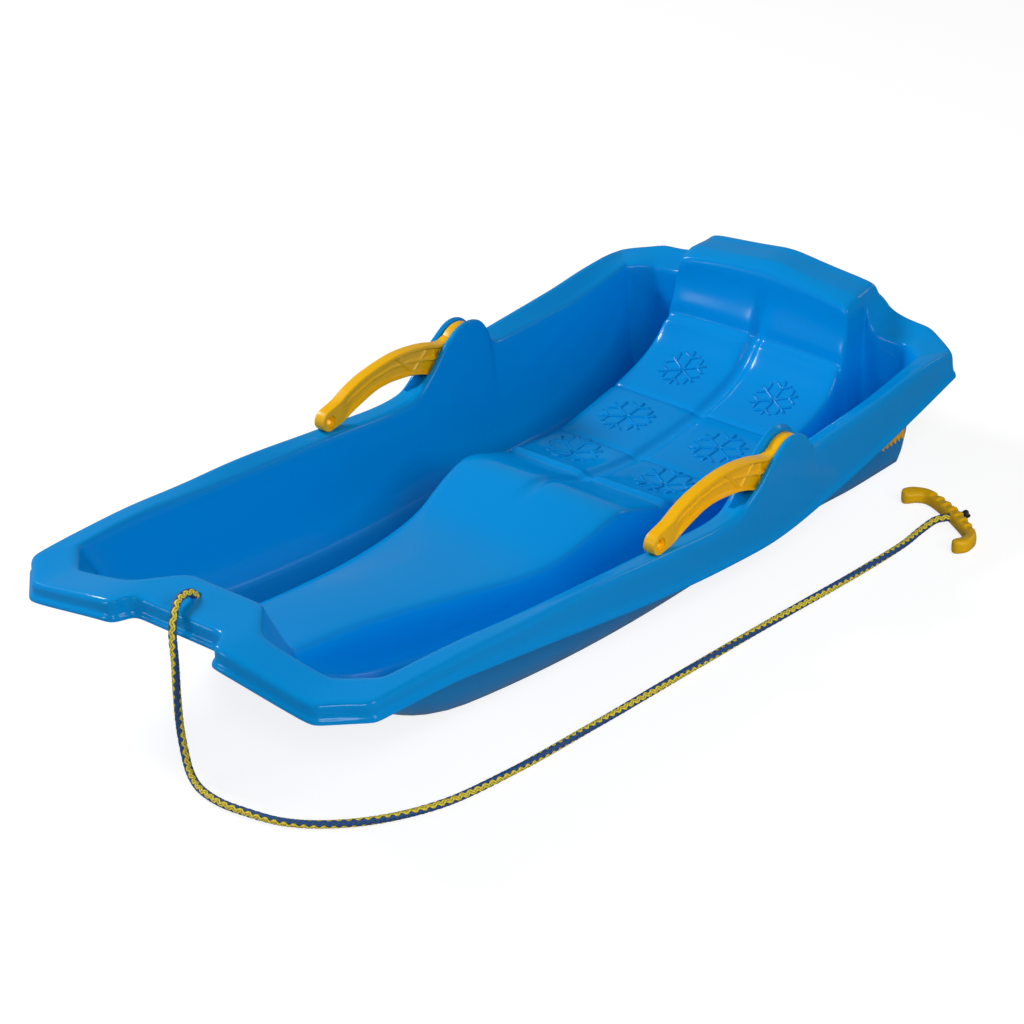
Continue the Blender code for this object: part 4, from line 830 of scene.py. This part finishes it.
frontStep = runAt(seat.stepX)
firstSeam, secondSeam = (runAt(x) for x in seat.seamXs)
backSeam = runWhere(lambda p: p[0] < seat.backX and p[1] >= seat.backSeamZ)


def padLift(s):  # how far the pads and seams lift the surface at a length along the profile
    lift = 0.0
    if s > frontStep:
        lift = seat.panelRaise * (1.0 - fade(s, backSeam, backSeam + seat.panelEnd))
    for shape, place in ((seat.stepShape, frontStep), (seat.seamShape, firstSeam),
                         (seat.seamShape, secondSeam), (seat.backSeamShape, backSeam)):
        lift += linearAt(shape, s - place)
    return lift


def padDish(s):  # how far the front pads are hollowed
    t = (s - frontStep - seat.dishGap) / (firstSeam - frontStep - seat.dishShort)
    return seat.padDish * math.sin(math.pi * t) ** 2 if 0.0 < t < 1.0 else 0.0


def grooveAt(s):  # depth of the groove along the middle
    x, z = profileAt(s)[:2]
    end = fade(z, *seat.grooveTo) if x < seat.backX else 1.0
    deeper = blend(1.0, seat.grooveDeeper, fade(s, secondSeam, secondSeam + seat.grooveDeepRun))
    return seat.grooveDepth * fade(x, *seat.grooveFrom) * end * deeper


def between(start, end, shares):
    return [blend(start, end, share) for share in shares]


def rowPlaces():  # lengths along the profile, close where the ears or the seams need it
    places = [runAt(row[0]) for row in frontRows] + [runAt(x) for x in plainRows]
    places += [runAt(ear.pivot[0] + u) for u in ear.rows]
    places += between(places[-1], secondSeam + seat.seamRows[0], seat.midPadRows)
    places += [secondSeam + d for d in seat.seamRows]
    places += between(places[-1], backSeam + seat.backSeamRows[0], seat.upperPadRows)
    places += [backSeam + d for d in seat.backSeamRows]
    places += between(places[-1], profileRun[-1] + seat.topRows[0], seat.headrestRows)
    return places + [profileRun[-1] + d for d in seat.topRows[1:]]


# One row of the island's half section: nine columns over the top, three down its side
def islandRow(s, x, height, half, crown, dish, base, normal, dip=0.0):
    groove, lift, pad = (grooveAt(s), padLift(s), padDish(s)) if s is not None else (0.0, 0.0, 0.0)
    shoulder = [half - d for d in seat.shoulderIns]
    ys = [*seat.grooveYs, *between(seat.grooveYs[-1], shoulder[0], seat.padShares), *shoulder]
    row = []
    for y, drop, cut, raised, hollow in zip(ys, seat.drops, seat.cuts, seat.lifts, seat.hollows):
        share = 1.0 - (y / half) ** 2
        move = lift * raised - groove * cut - (pad * hollow + dip * math.sin(math.pi * y / half) ** 2)
        row.append(Vector((x - dish * share + normal[0] * move, y,
                           height + crown * share - drop + normal[1] * move)))
    top, low = height - seat.drops[-1], base + seat.sideFoot
    side = half + seat.sideLean * (top - low)
    row.append(Vector((x, blend(half, side, 0.5), blend(top, low, 0.5))))
    row.append(Vector((x, side, low)))
    row.append(Vector((x, side + seat.footOut, base + seat.footUp)))
    return row


# A row's five places over the tub's floor, out to the wall's foot
def floorColumns(row, sideX, edge):
    foot = row[-1]
    for t in (0.0, 0.5, 1.0):
        x = blend(foot.x, sideX, t)
        row.append(Vector((x, blend(foot.y + hull.footRun, edge - hull.cornerRun, t), floorHeight(x))))
    row.append(Vector((sideX, edge - hull.cornerIn, floorHeight(sideX) + hull.cornerRise)))
    row.append(Vector((sideX, edge, floorHeight(sideX) + hull.footRise)))
    return row


def tubRows():
    rows = []
    backFoot = runAt(hull.backFrom)
    for k, s in enumerate(rowPlaces()):
        x, height, half, crown, dish = profileAt(s)
        ahead, behind = profileAt(s - seat.slopeReach), profileAt(s + seat.slopeReach)
        run = math.hypot(behind[0] - ahead[0], behind[1] - ahead[1])
        normal = ((behind[1] - ahead[1]) / run, -(behind[0] - ahead[0]) / run)
        row = islandRow(s, x, height, half, crown, dish, floorHeight(x), normal)
        share = max(0.0, (s - backFoot) / (profileRun[-1] + seat.topRows[-1] - backFoot))
        wallX = x if share == 0.0 else blend(hull.backFrom, hull.backTo, share)
        if k < len(frontRows):
            wallX = frontRows[k][1]
        rows.append(floorColumns(row, wallX, valueAt(floorWidthKeys, wallX)))
    return rows


# half loops round the nose, one point for each column: the inner rim and the skirt's lower edge, and the
# wall's foot from column 9 out
topCount, islandCount, columnCount = 9, 12, 17  # columns over the island's top, down its side, to the wall
noseInner = [(0.3470, 0.0), (0.3470, 0.0036), (0.3470, 0.0070), (0.3470, 0.0105), (0.3470, 0.0180),
             (0.3470, 0.0260), (0.3470, 0.0325), (0.3484, 0.0378), (0.3530, 0.0428), (0.3610, 0.0495),
             (0.3705, 0.0572), (0.3798, 0.0655), (0.3840, 0.0785), (0.3790, 0.1235), (0.3772, 0.1325),
             (0.3712, 0.1388), (0.3625, 0.1475)]
noseSkirt = [(0.4040, 0.0), (0.4040, 0.0040), (0.4040, 0.0080), (0.4040, 0.0130), (0.4040, 0.0210),
             (0.4040, 0.0300), (0.4040, 0.0380), (0.4052, 0.0437), (0.4100, 0.0468), (0.4168, 0.0488),
             (0.4224, 0.0522), (0.4241, 0.0590), (0.4241, 0.0750), (0.4182, 0.1405), (0.4168, 0.1500),
             (0.4110, 0.1560), (0.4010, 0.1660)]
noseFoot = [(0.3180, 0.0450), (0.3200, 0.0490), (0.3255, 0.0560), (0.3355, 0.0690), (0.3395, 0.0950),
            (0.3372, 0.1125), (0.3312, 0.1205), (0.3250, 0.1270)]


def noseCrownAt(y):
    return fade(y, hull.crownFrom, hull.crownTo)


def noseLoops():
    frontX = islandKeys[0][0]
    front = islandRow(None, *islandKeys[0], floorHeight(frontX), (0.0, 1.0))
    loops = []
    for j in range(columnCount):
        x, y = noseInner[j]
        topIn = Vector((x, y, hull.noseRimZ + hull.innerCrown * noseCrownAt(y)))
        sx, sy = noseSkirt[j]
        near, far = noseSkirt[max(j - 1, 0)], noseSkirt[min(j + 1, columnCount - 1)]
        along = Vector((far[0] - near[0], far[1] - near[1])).normalized()
        topOut = Vector((sx - hull.flare * along.y, sy + hull.flare * along.x if j else 0.0,
                         hull.noseRimZ - hull.noseOuterFall + hull.noseCrown * noseCrownAt(sy)))
        low = Vector((sx, sy, hull.noseSkirtZ + hull.skirtCrown * noseCrownAt(sy)))
        foot = front[j].copy() if j < topCount else Vector((*noseFoot[j - topCount], 0.0))
        if j >= islandCount:
            foot.z = floorHeight(foot.x) + hull.footRise
        elif j >= topCount:
            foot.z = front[j].z + floorHeight(foot.x) - floorHeight(frontX)
        loops.append((foot, topIn, topOut, low, hull.creaseRun, 0.0, 0.0))
    return loops


def sideLoops(rows):
    loops = []
    for k, row in enumerate(rows):
        foot = row[-1]
        inX = frontRows[k][2] if k < len(frontRows) else linearAt(rearInner, foot.x)
        outX = frontRows[k][3] if k < len(frontRows) else linearAt(rearOuter, foot.x)
        lowX = outX - hull.tuck * fade(foot.x, *hull.tuckX)
        skirtY = valueAt(skirtWidthKeys, lowX)
        top, topOuter = rimHeight(inX), rimHeight(outX) + valueAt(outerRiseKeys, outX)
        loops.append((foot, Vector((inX, valueAt(innerWidthKeys, inX), top)),
                      Vector((outX, skirtY - hull.flare, topOuter)),
                      Vector((lowX, skirtY, valueAt(skirtKeys, lowX))), hull.creaseRunSide,
                      earRise(inX, ear.inner[1], top), earRise(outX, ear.outer[1], topOuter)))
    return loops


# x, height and half width of the three loops over the headrest
headRows = [(-0.380, 0.1500, 0.0965), (-0.3925, 0.1508, 0.0950), (-0.4140, 0.1521, 0.0935)]
# places from column 9 out: down the headrest's side, along the rear and round the corner
tailFoot = [(-0.3815, 0.0985, 0.080), (-0.3832, 0.1035, 0.013), (-0.3850, 0.1080, 0.0045),
            (-0.3850, 0.1190, 0.0065), (-0.3848, 0.1295, 0.0080), (-0.3832, 0.1350, 0.0110),
            (-0.3796, 0.1390, 0.0135), (-0.3760, 0.1430, 0.0120)]
tailInner = [(-0.3874, 0.0990, 0.1345), (-0.3876, 0.1035, 0.1225), (-0.3876, 0.1090, 0.1182),
             (-0.3876, 0.1240, 0.1170), (-0.3876, 0.1340, 0.1170), (-0.3870, 0.1408, 0.1170),
             (-0.3830, 0.1472, 0.1170), (-0.3778, 0.1550, 0.1170)]
tailOuter = [(-0.4160, 0.0985, 0.1415), (-0.4166, 0.1045, 0.1340), (-0.4166, 0.1120, 0.1300),
             (-0.4166, 0.1260, 0.1268), (-0.4166, 0.1420, 0.1258), (-0.4164, 0.1505, 0.1250),
             (-0.4120, 0.1600, 0.1226), (-0.4015, 0.1790, 0.1195)]
tailSkirt = [(-0.4240, 0.0985, 0.0955), (-0.4240, 0.1035, 0.0955), (-0.4240, 0.1110, 0.0955),
             (-0.4240, 0.1260, 0.0952), (-0.4240, 0.1425, 0.0945), (-0.4227, 0.1512, 0.0940),
             (-0.4178, 0.1615, 0.0935), (-0.4065, 0.1805, 0.0928)]


# Loops round the tail: nine over the headrest, three down its side, five round the corner
def tailLoops():
    front, inner, outer = (islandRow(None, x, height, half, hull.headCrown, 0.0, hull.headBase, (0.0, 1.0),
                                     hull.headDip) for x, height, half in headRows)
    loops = [(front[j], inner[j], outer[j], Vector((hull.tailX, outer[j].y, hull.tailSkirtZ)), hull.creaseRun,
              None, None) for j in range(topCount)]
    for places in zip(tailFoot, tailInner, tailOuter, tailSkirt):
        loops.append((*[Vector(place) for place in places], hull.creaseRun, 0.0, 0.0))
    return loops


# Section of wall, rim, ears, skirt and lip at one place round the hull: seventeen levels
def ringSection(foot, topIn, topOut, low, creaseRun, earIn, earOut):
    up = Vector((0.0, 0.0, 1.0))
    out = Vector((topOut.x - topIn.x, topOut.y - topIn.y, 0.0)).normalized()
    overHead = earIn is None
    earIn, earOut = earIn or 0.0, earOut or 0.0
    wIn, wOut = fade(earIn, 0.0, ear.full), fade(earOut, 0.0, ear.full)
    roundIn = blend(hull.rimInRound, ear.roundIn, wIn)
    roundOut = blend(hull.rimOutRound, ear.roundOut, wOut)
    roundDown = 0.0 if overHead else roundIn
    if not overHead:
        topIn = topIn - out * hull.innerOverhang
    innerEdge, outEdge = topIn.copy(), topOut.copy()
    innerEdge.y = blend(topIn.y, ear.inner[0], wIn)
    outEdge.y = blend(topOut.y, ear.outer[0] - ear.outerIn, wOut)
    wallTop = innerEdge + up * (earIn - roundDown)
    creaseTop = topIn.z - (0.0 if overHead else hull.rimInRound)
    crease = Vector((blend(foot.x, topIn.x, creaseRun), blend(foot.y, topIn.y, creaseRun),
                     blend(foot.z, creaseTop, hull.creaseHeight)))
    bulge = 1.0 - math.sqrt(0.5)  # how far a round edge's middle lies from its corner, in radii
    topEdge, outTop = innerEdge + up * earIn, outEdge + up * earOut
    flatIn, flatOut = topEdge + out * roundIn, outTop - out * roundOut
    across = [flatIn.lerp(flatOut, t) for t in hull.rimRows]
    if wIn > 0.0 or wOut > 0.0:
        (y0, fall0), (y1, fall1), (y2, fall2) = ear.crests
        crests = [Vector((topIn.x, y0, topIn.z + earIn - fall0)),
                  Vector((topIn.x, y1, topIn.z + earIn - fall1 * wIn)),
                  Vector((topIn.x, y2, topOut.z + earOut - fall2 * wOut))]
        across = [a.lerp(b, max(wIn, wOut)) for a, b in zip(across, crests)]
    flare = Vector((low.x - topOut.x, low.y - topOut.y, 0.0))
    lipIn = low - flare.normalized() * hull.lipOut if flare.length > 1e-6 else low
    skirtLow = Vector((lipIn.x, lipIn.y, low.z + hull.lipRise * hull.lip))
    skirtTop = outTop - up * roundOut
    return [
        foot, foot.lerp(crease, hull.wallRowLow), crease, crease.lerp(wallTop, hull.wallRowHigh), wallTop,
        topEdge + out * roundIn * bulge - up * roundDown * bulge, flatIn, *across, flatOut,
        outTop - out * roundOut * bulge - up * roundOut * bulge, skirtTop,
        skirtTop.lerp(skirtLow, hull.skirtRow), skirtLow, low + up * hull.lip, low,
    ]


def hullCage():
    rows = tubRows()
    loops = noseLoops() + sideLoops(rows) + tailLoops()[::-1]
    work = bmesh.new()
    rings = [[work.verts.new(p) for p in ringSection(*loop)] for loop in loops]
    grid = [[rings[j][0] for j in range(columnCount)]]
    for i, row in enumerate(rows):
        grid.append([work.verts.new(p) for p in row[:-1]] + [rings[columnCount + i][0]])
    grid.append([rings[-1 - j][0] for j in range(columnCount)])
    for here, there in zip(grid, grid[1:]):
        for j in range(columnCount - 1):
            work.faces.new((here[j], here[j + 1], there[j + 1], there[j]))
    for here, there in zip(rings, rings[1:]):
        for level in range(len(here) - 1):
            work.faces.new((here[level], here[level + 1], there[level + 1], there[level]))
    copied = bmesh.ops.duplicate(work, geom=work.verts[:] + work.faces[:])
    for vert in [g for g in copied["geom"] if isinstance(g, bmesh.types.BMVert)]:
        vert.co.y = -vert.co.y
    bmesh.ops.reverse_faces(work, faces=[g for g in copied["geom"] if isinstance(g, bmesh.types.BMFace)])
    bmesh.ops.remove_doubles(work, verts=work.verts, dist=hull.weld)
    bmesh.ops.recalc_face_normals(work, faces=work.faces)
    top = max(work.faces, key=lambda f: f.calc_center_median().z)
    if top.normal.z < 0.0:
        bmesh.ops.reverse_faces(work, faces=work.faces)
    mesh = bpy.data.meshes.new("hullCage")
    work.to_mesh(mesh)
    work.free()
    return mesh


def lowerPoints(mesh, count):  # the cage's own points on the smooth surface, moved in by the wall
    low = []
    for k in range(count):
        place = mesh.vertices[k].co - mesh.vertex_normals[k].vector * hull.wall
        rim = rimHeight(place.x)
        u = place.x - ear.pivot[0]
        byEar = ear.solidBack < u < ear.front + ear.solidFront and abs(place.y) > ear.solidY
        if byEar and place.z > rim - hull.wall:  # the ears are solid over the rim
            place.z = rim - hull.wall - ear.solidFall * abs(place.z - rim)
        place.z = max(place.z, 0.0)
        low.append(place)
    return low


def openEdge(faces, count):  # vertices in order round the lower edge, from one that the cage has too
    edges = [edge for face in faces for edge in zip(face, face[1:] + face[:1])]
    known = set(edges)
    follow = {b: a for a, b in edges if (b, a) not in known}
    first = next(v for v in follow if v < count)
    loop = [first]
    while follow[loop[-1]] != first:
        loop.append(follow[loop[-1]])
    return loop


def edgeStrip(loop, count, start):  # triangles from the fine lower edge to the coarse one beside it
    faces = []
    coarse = [k for k, v in enumerate(loop) if v < count]
    for k, after in zip(coarse, coarse[1:] + coarse[:1]):
        chain = loop[k:after + 1] if after > k else loop[k:] + loop[:after + 1]
        a, b = start + chain[0], start + chain[-1]
        half = len(chain) // 2
        faces += [(chain[i], chain[i + 1], a) for i in range(half)]
        faces.append((chain[half], b, a))
        faces += [(chain[i], chain[i + 1], b) for i in range(half, len(chain) - 1)]
    return faces


# Fine upper surface, a coarser offset underside, and a strip that joins the two round the lower edge
def thickHull(cage):
    count = len(cage.vertices)
    cageFaces = [tuple(face.vertices) for face in cage.polygons]
    item = bpy.data.objects.new("hullTop", cage)
    bpy.context.scene.collection.objects.link(item)
    smooth = item.modifiers.new("smooth", "SUBSURF")
    smooth.levels = smooth.render_levels = hull.levels
    top = bakeDown(item)
    points = [v.co.copy() for v in top.data.vertices]
    faces = [tuple(face.vertices) for face in top.data.polygons]
    start = len(points)
    strip = edgeStrip(openEdge(faces, count), count, start)
    faces += [tuple(start + v for v in reversed(face)) for face in cageFaces] + strip
    points += lowerPoints(top.data, count)
    bpy.data.objects.remove(top, do_unlink=True)
    return points, faces


def makeHull():
    points, faces = thickHull(hullCage())
    shell = addMeshObject("hullShell", points, faces, hullBlue)
    x, y = ropeRoute[0][:2]
    tools = [rod("noseHole", (x, y, hull.holeLow), (x, y, hull.holeHigh), hull.holeRadius, hull.holeSides,
                 hullBlue)]
    px, pz = ear.pivot[0], ear.pivot[2]
    for name, side in (("Left", 1.0), ("Right", -1.0)):
        outline = [(px + u, pz + w) for u, w in ear.slotShape]
        tools.append(prism("slot" + name, outline, *sorted(side * y for y in ear.slot), hullBlue))
        start, end = ((px, side * y, pz) for y in ear.socket)
        tools.append(rod("socket" + name, start, end, ear.socketRadius, ear.socketSides, hullBlue))
    shell = carve(shell, tools)
    shadeSharp(shell, hull.sharp)
    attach(shell, "sled")
    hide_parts("hull")
    print("hull: %d faces" % len(shell.data.polygons))
    return shell


hullShell = makeHull()

# brake levers: a curved arm with pocketed sides and low ribs, a hub on the pin and a toothed tail
lever = Settings(
    half=0.0055, edge=0.0013, edgeMost=0.45, steps=22, side=40, cap=6, sharp=38.0,
    hub=0.0253, hubSides=72, hubBevel=0.0012, hubBevelSteps=3, bore=0.0033, boreSides=24, cutHalf=0.02,
    tip=(0.1790, -0.0026), tipRadius=0.0098, tipTurn=-14.0, tipAngles=(7.0, 22.0, 40.0, 58.0, 76.0, 92.0),
    tipHole=0.0035, tipHoleSides=32, tipSink=0.0056, tipSinkHalf=0.0020, tipSinkSides=40,
    # where the pocket fades in from each end and from each edge of the arm
    recess=0.0031, pocketTip=(0.1655, 0.1455), pocketHub=(0.0275, 0.0305), pocketLow=(0.0016, 0.0034),
    pocketHigh=(0.0030, 0.0050), ribEdge=0.0013, tailHalf=0.00375, tailBevel=0.0004, tailBevelSteps=2,
    top=[(0.1670, 0.0106), (0.152, 0.0172), (0.1368, 0.0220), (0.1216, 0.0248), (0.1064, 0.0267),
         (0.0912, 0.0276), (0.076, 0.0269), (0.0608, 0.0248), (0.0456, 0.0216), (0.0330, 0.0178),
         (0.0240, 0.0166), (0.0175, 0.0186), (0.0080, 0.0215), (0.0, 0.0220)],
    low=[(0.1640, -0.0100), (0.1506, -0.0050), (0.1348, 0.0000), (0.119, 0.0040), (0.1032, 0.0049),
         (0.0873, 0.0035), (0.0715, 0.0010), (0.0557, -0.0036), (0.0399, -0.0107), (0.0290, -0.0155),
         (0.0220, -0.0180), (0.0160, -0.0200), (0.0080, -0.0215), (0.0, -0.0220)],
    tail=[(0.0, 0.004), (-0.0163, 0.006), (-0.025, -0.004), (-0.06, -0.012), (-0.1805, -0.03),
          (-0.1832, -0.0307), (-0.1853, -0.0327), (-0.186, -0.0355), (-0.186, -0.0437), (-0.1845, -0.0494),
          (-0.1792, -0.0440), (-0.1783, -0.0495), (-0.173, -0.0441), (-0.1721, -0.0497), (-0.1668, -0.0443),
          (-0.1659, -0.0499), (-0.1606, -0.0445), (-0.1597, -0.0500), (-0.1544, -0.0446), (-0.1535, -0.0502),
          (-0.1482, -0.0447), (-0.1411, -0.0410), (-0.06, -0.0245), (-0.0125, -0.0202)],
    # ribs in the pockets: start, end, half width, and how much of the depth they fill
    ribs=[
        ((0.158, 0.0050), (0.1207, 0.0150), 0.0007, 0.34),
        ((0.1207, 0.0150), (0.0950, 0.0168), 0.0007, 0.34),
        ((0.0950, 0.0168), (0.0700, 0.0138), 0.0007, 0.34),
        ((0.0700, 0.0138), (0.0300, 0.0035), 0.0008, 0.50),
        ((0.0905, 0.0260), (0.0665, 0.0020), 0.0009, 0.50),
        ((0.0445, 0.0200), (0.0665, 0.0020), 0.0009, 0.42),
        ((0.0430, 0.0070), (0.0300, 0.0035), 0.0008, 0.95),
        ((0.0375, 0.0200), (0.0375, -0.0120), 0.0006, 0.30),
    ],
)


def ribShare(u, w):  # how much of the pocket's depth the ribs fill at a place on the arm
    share = 0.0
    for (u0, w0), (u1, w1), half, part in lever.ribs:
        run = (u1 - u0) ** 2 + (w1 - w0) ** 2
        t = limit(((u - u0) * (u1 - u0) + (w - w0) * (w1 - w0)) / run, 0.0, 1.0)
        away = math.hypot(u - blend(u0, u1, t), w - blend(w0, w1, t))
        share = max(share, part * (1.0 - fade(away, half, half + lever.ribEdge)))
    return share


def pocketDepth(u, w, fromLow, fromTop):
    ends = fade(u, *lever.pocketTip) * fade(u, *lever.pocketHub)
    edges = fade(fromLow, *lever.pocketLow) * fade(fromTop, *lever.pocketHigh)
    return lever.recess * ends * edges * (1.0 - ribShare(u, w))


def leverSections():  # top and low point of each section, from the round tip to the hub
    tip, radius = Vector((*lever.tip, 0.0)), lever.tipRadius
    tops, lows = [], []
    for angle in lever.tipAngles:
        for sign, side in ((1.0, tops), (-1.0, lows)):
            place = math.radians(lever.tipTurn + sign * angle)
            side.append(tip + Vector((radius * math.cos(place), radius * math.sin(place), 0.0)))
    tops += [Vector((*p, 0.0)) for p in lever.top]
    lows += [Vector((*p, 0.0)) for p in lever.low]
    return list(zip(curveThrough(tops, lever.steps), curveThrough(lows, lever.steps)))


def armRing(top, low, y):  # one section of the arm, with rounded edges and its pockets
    tall = (top - low).length
    edge = min(lever.edge, lever.edgeMost * tall)
    quarter = [math.radians(90.0 * k / lever.cap) for k in range(lever.cap + 1)]
    cap = [(edge * (1.0 - math.cos(a)), edge * (1.0 - math.sin(a))) for a in quarter]
    column = cap + [(blend(edge, tall - edge, k / lever.side), 0.0) for k in range(1, lever.side)]
    column += [(tall - rise, inset) for rise, inset in cap[::-1]]
    ring = []
    for side, line in ((1.0, column), (-1.0, column[::-1])):
        for t, inset in line:
            place = low.lerp(top, t / tall)
            depth = inset + pocketDepth(place.x, place.y, t, tall - t)
            ring.append((ear.pivot[0] + place.x, y + side * (lever.half - depth), ear.pivot[2] + place.y))
    return ring


def makeArm(name, y):
    rings = [armRing(top, low, y) for top, low in leverSections()]
    points = [place for ring in rings for place in ring]
    size = len(rings[0])
    faces = []
    for start in range(0, len(points) - size, size):
        for n in range(size):
            m = (n + 1) % size
            faces.append((start + n, start + size + n, start + size + m, start + m))
    faces += [tuple(range(size)), tuple(range(len(points) - size, len(points)))[::-1]]
    arm = addMeshObject(name, points, faces, brakeYellow)
    faceOutwards(arm)
    return arm


def makeTail(name, y):
    outline = [(ear.pivot[0] + u, ear.pivot[2] + w) for u, w in lever.tail]
    tail = prism(name, outline, y - lever.tailHalf, y + lever.tailHalf, brakeYellow)
    faceOutwards(tail)
    return bevelled(tail, lever.tailBevel, lever.tailBevelSteps)


def disc(name, place, radius, y, half, sides):  # a short rod across the lever
    x, z = place
    return rod(name, (x, y - half, z), (x, y + half, z), radius, sides, brakeYellow)


def makeLever(label, side):
    px, py, pz = ear.pivot
    y = side * py
    hub = disc("hub" + label, (px, pz), lever.hub, y, lever.half, lever.hubSides)
    hub = bevelled(hub, lever.hubBevel, lever.hubBevelSteps)
    arm = carve(makeArm("brakeLever" + label, y), [hub, makeTail("tail" + label, y)], "UNION")
    tip = (px + lever.tip[0], pz + lever.tip[1])
    cuts = [disc("bore" + label, (px, pz), lever.bore, y, lever.cutHalf, lever.boreSides),
            disc("tipHole" + label, tip, lever.tipHole, y, lever.cutHalf, lever.tipHoleSides)]
    cuts += [disc("tipSink" + label, tip, lever.tipSink, face, lever.tipSinkHalf, lever.tipSinkSides)
             for face in (y + lever.half, y - lever.half)]
    arm = carve(arm, cuts)
    shadeSharp(arm, lever.sharp)
    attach(arm, label.lower() + "_brake")
    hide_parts("brake_lever_" + label.lower())
    print("lever %s: %d faces" % (label, len(arm.data.polygons)))


makeLever("Left", 1.0)
makeLever("Right", -1.0)

# brake pins: drawn steel on the CAD's own pins
steel = Settings(colour=(0.56, 0.57, 0.59), dark=(0.50, 0.51, 0.53), light=(0.62, 0.63, 0.65), rough=0.2,
                 markRough=0.25, markScale=(1500.0, 40.0, 1500.0), markDetail=2.0)


def makeSteel():
    material, tree, shader = newMaterial("pinSteel", steel.colour, steel.rough, metallic=1.0)
    place = tree.node("ShaderNodeTexCoord").out("Object")
    drawn = tree.node("ShaderNodeMapping", {}, {"Vector": place, "Scale": steel.markScale}).out(0)
    marks = tree.noise(drawn, 1.0, steel.markDetail)
    tree.feed(shader, "Roughness", marks * steel.markRough + steel.rough)
    tree.feed(shader, "Base Color", tree.mixed(marks, steel.dark, steel.light))
    return material


pinSteel = makeSteel()
for side in ("left", "right"):
    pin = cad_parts["brake_pin_" + side]
    pin.data.materials.clear()
    pin.data.materials.append(pinSteel)
print("pins finished in steel")

# snowflakes raised on the seat: one arm repeated round, then laid on the hull along its own slope
flake = Settings(
    arms=6, node=0.0168, tip=0.0262, branch=0.0112, branchIn=0.0006, lengths=5,
    wide=0.00135, narrow=0.00095, high=0.00115, sink=0.0014, sideIn=0.92, sideUp=0.35, shoulderUp=0.92,
    reach=0.03, rayLength=0.1, slopeReach=0.015,
    places=[(-0.1490, 0.0505, 1.0), (-0.2285, 0.0513, 1.0), (-0.3130, 0.0513, 0.84)],  # x, y and size
)


def armPoints():  # three bars with a rounded top, each a closed prism
    half = [(flake.wide, -flake.sink), (flake.wide * flake.sideIn, flake.high * flake.sideUp),
            (flake.narrow, flake.high * flake.shoulderUp)]
    section = [(-flake.wide, -flake.sink), *half, (0.0, flake.high), *[(-y, z) for y, z in half[:0:-1]]]
    node = Vector((flake.node, 0.0, 0.0))
    bars = [(Vector((0.0, 0.0, 0.0)), Vector((flake.tip, 0.0, 0.0)))]
    for sign in (1.0, -1.0):
        aim = Vector((0.5, sign * math.sqrt(0.75), 0.0))
        bars.append((node - aim * flake.branchIn, node + aim * flake.branch))
    points, faces = [], []
    for start, end in bars:
        axis = (end - start).normalized()
        side = Vector((-axis.y, axis.x, 0.0))
        faces += tubeFaces(flake.lengths + 1, len(section), len(points))
        for k in range(flake.lengths + 1):
            middle = start.lerp(end, k / flake.lengths)
            points += [middle + side * across + Vector((0.0, 0.0, up)) for across, up in section]
    return points, faces


def makeFlakeGroup():
    group, tree, given = newGroup("snowflake", [("Hull", "Object"), ("Centre", "Vector"), ("Lean", "Float"),
                                                ("Arms", "Int"), ("Material", "Material")])
    spots = tree.node("GeometryNodeMeshLine", {},
                      {"Count": given.out("Arms"), "Offset": (0.0, 0.0, 0.0)}).out(0)
    index = tree.node("GeometryNodeInputIndex").out(0)
    spin = tree.combined(2, index * math.tau / given.out("Arms"))
    arms = tree.node("GeometryNodeInstanceOnPoints", {},
                     {"Points": spots, "Instance": given.out("Geometry"), "Rotation": spin}).out(0)
    real = tree.node("GeometryNodeRealizeInstances", {}, {"Geometry": arms}).out(0)
    place = tree.node("GeometryNodeInputPosition").out(0)
    height = tree.node("ShaderNodeSeparateXYZ", {}, {0: place}).out(2)
    lean = tree.combined(1, given.out("Lean"))
    moved = tree.node("GeometryNodeTransform", {},
                      {"Geometry": tree.stored("FLOAT", real, "height", height),
                       "Translation": given.out("Centre"), "Rotation": lean}).out(0)
    facing = tree.node("ShaderNodeVectorRotate", {"rotation_type": "EULER_XYZ"},
                       {"Vector": (0.0, 0.0, 1.0), "Rotation": lean}).out(0)
    above = tree.node("ShaderNodeVectorMath", {"operation": "MULTIPLY_ADD"},
                      {0: facing, 1: (flake.reach,) * 3, 2: place}).out(0)
    target = tree.node("GeometryNodeObjectInfo", {"transform_space": "RELATIVE"},
                       {"Object": given.out("Hull")})
    hit = tree.node("GeometryNodeRaycast", {},
                    {"Target Geometry": target.out("Geometry"), "Source Position": above,
                     "Ray Direction": tree.scaled(facing, -1.0), "Ray Length": flake.rayLength})
    lift = tree.scaled(facing, tree.recalled("FLOAT", "height"))
    final = tree.node("ShaderNodeVectorMath", {"operation": "ADD"},
                      {0: hit.out("Hit Position"), 1: lift}).out(0)
    laid = tree.node("GeometryNodeSetPosition", {}, {"Geometry": moved, "Position": final}).out(0)
    endGroup(tree, laid, given)
    return group


def makeFlakes():
    group = makeFlakeGroup()
    points, faces = armPoints()
    for k, (x, y, size) in enumerate(flake.places):
        sized = [(p[0] * size, p[1] * size, p[2]) for p in points]
        s = runAt(x)
        here, ahead, behind = profileAt(s), profileAt(s - flake.slopeReach), profileAt(s + flake.slopeReach)
        lean = math.atan2(behind[1] - ahead[1], ahead[0] - behind[0])
        for side, label in ((1.0, "Left"), (-1.0, "Right")):
            arm = addMeshObject("snowflake%s%d" % (label, k + 1), sized, faces, hullBlue)
            piece = runGroup(arm, group, {"Hull": hullShell, "Centre": (x, side * y, here[1]), "Lean": lean,
                                          "Arms": flake.arms, "Material": hullBlue})
            piece.data.shade_smooth()
            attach(piece, "sled")
    print("snowflakes laid on the seat")


makeFlakes()
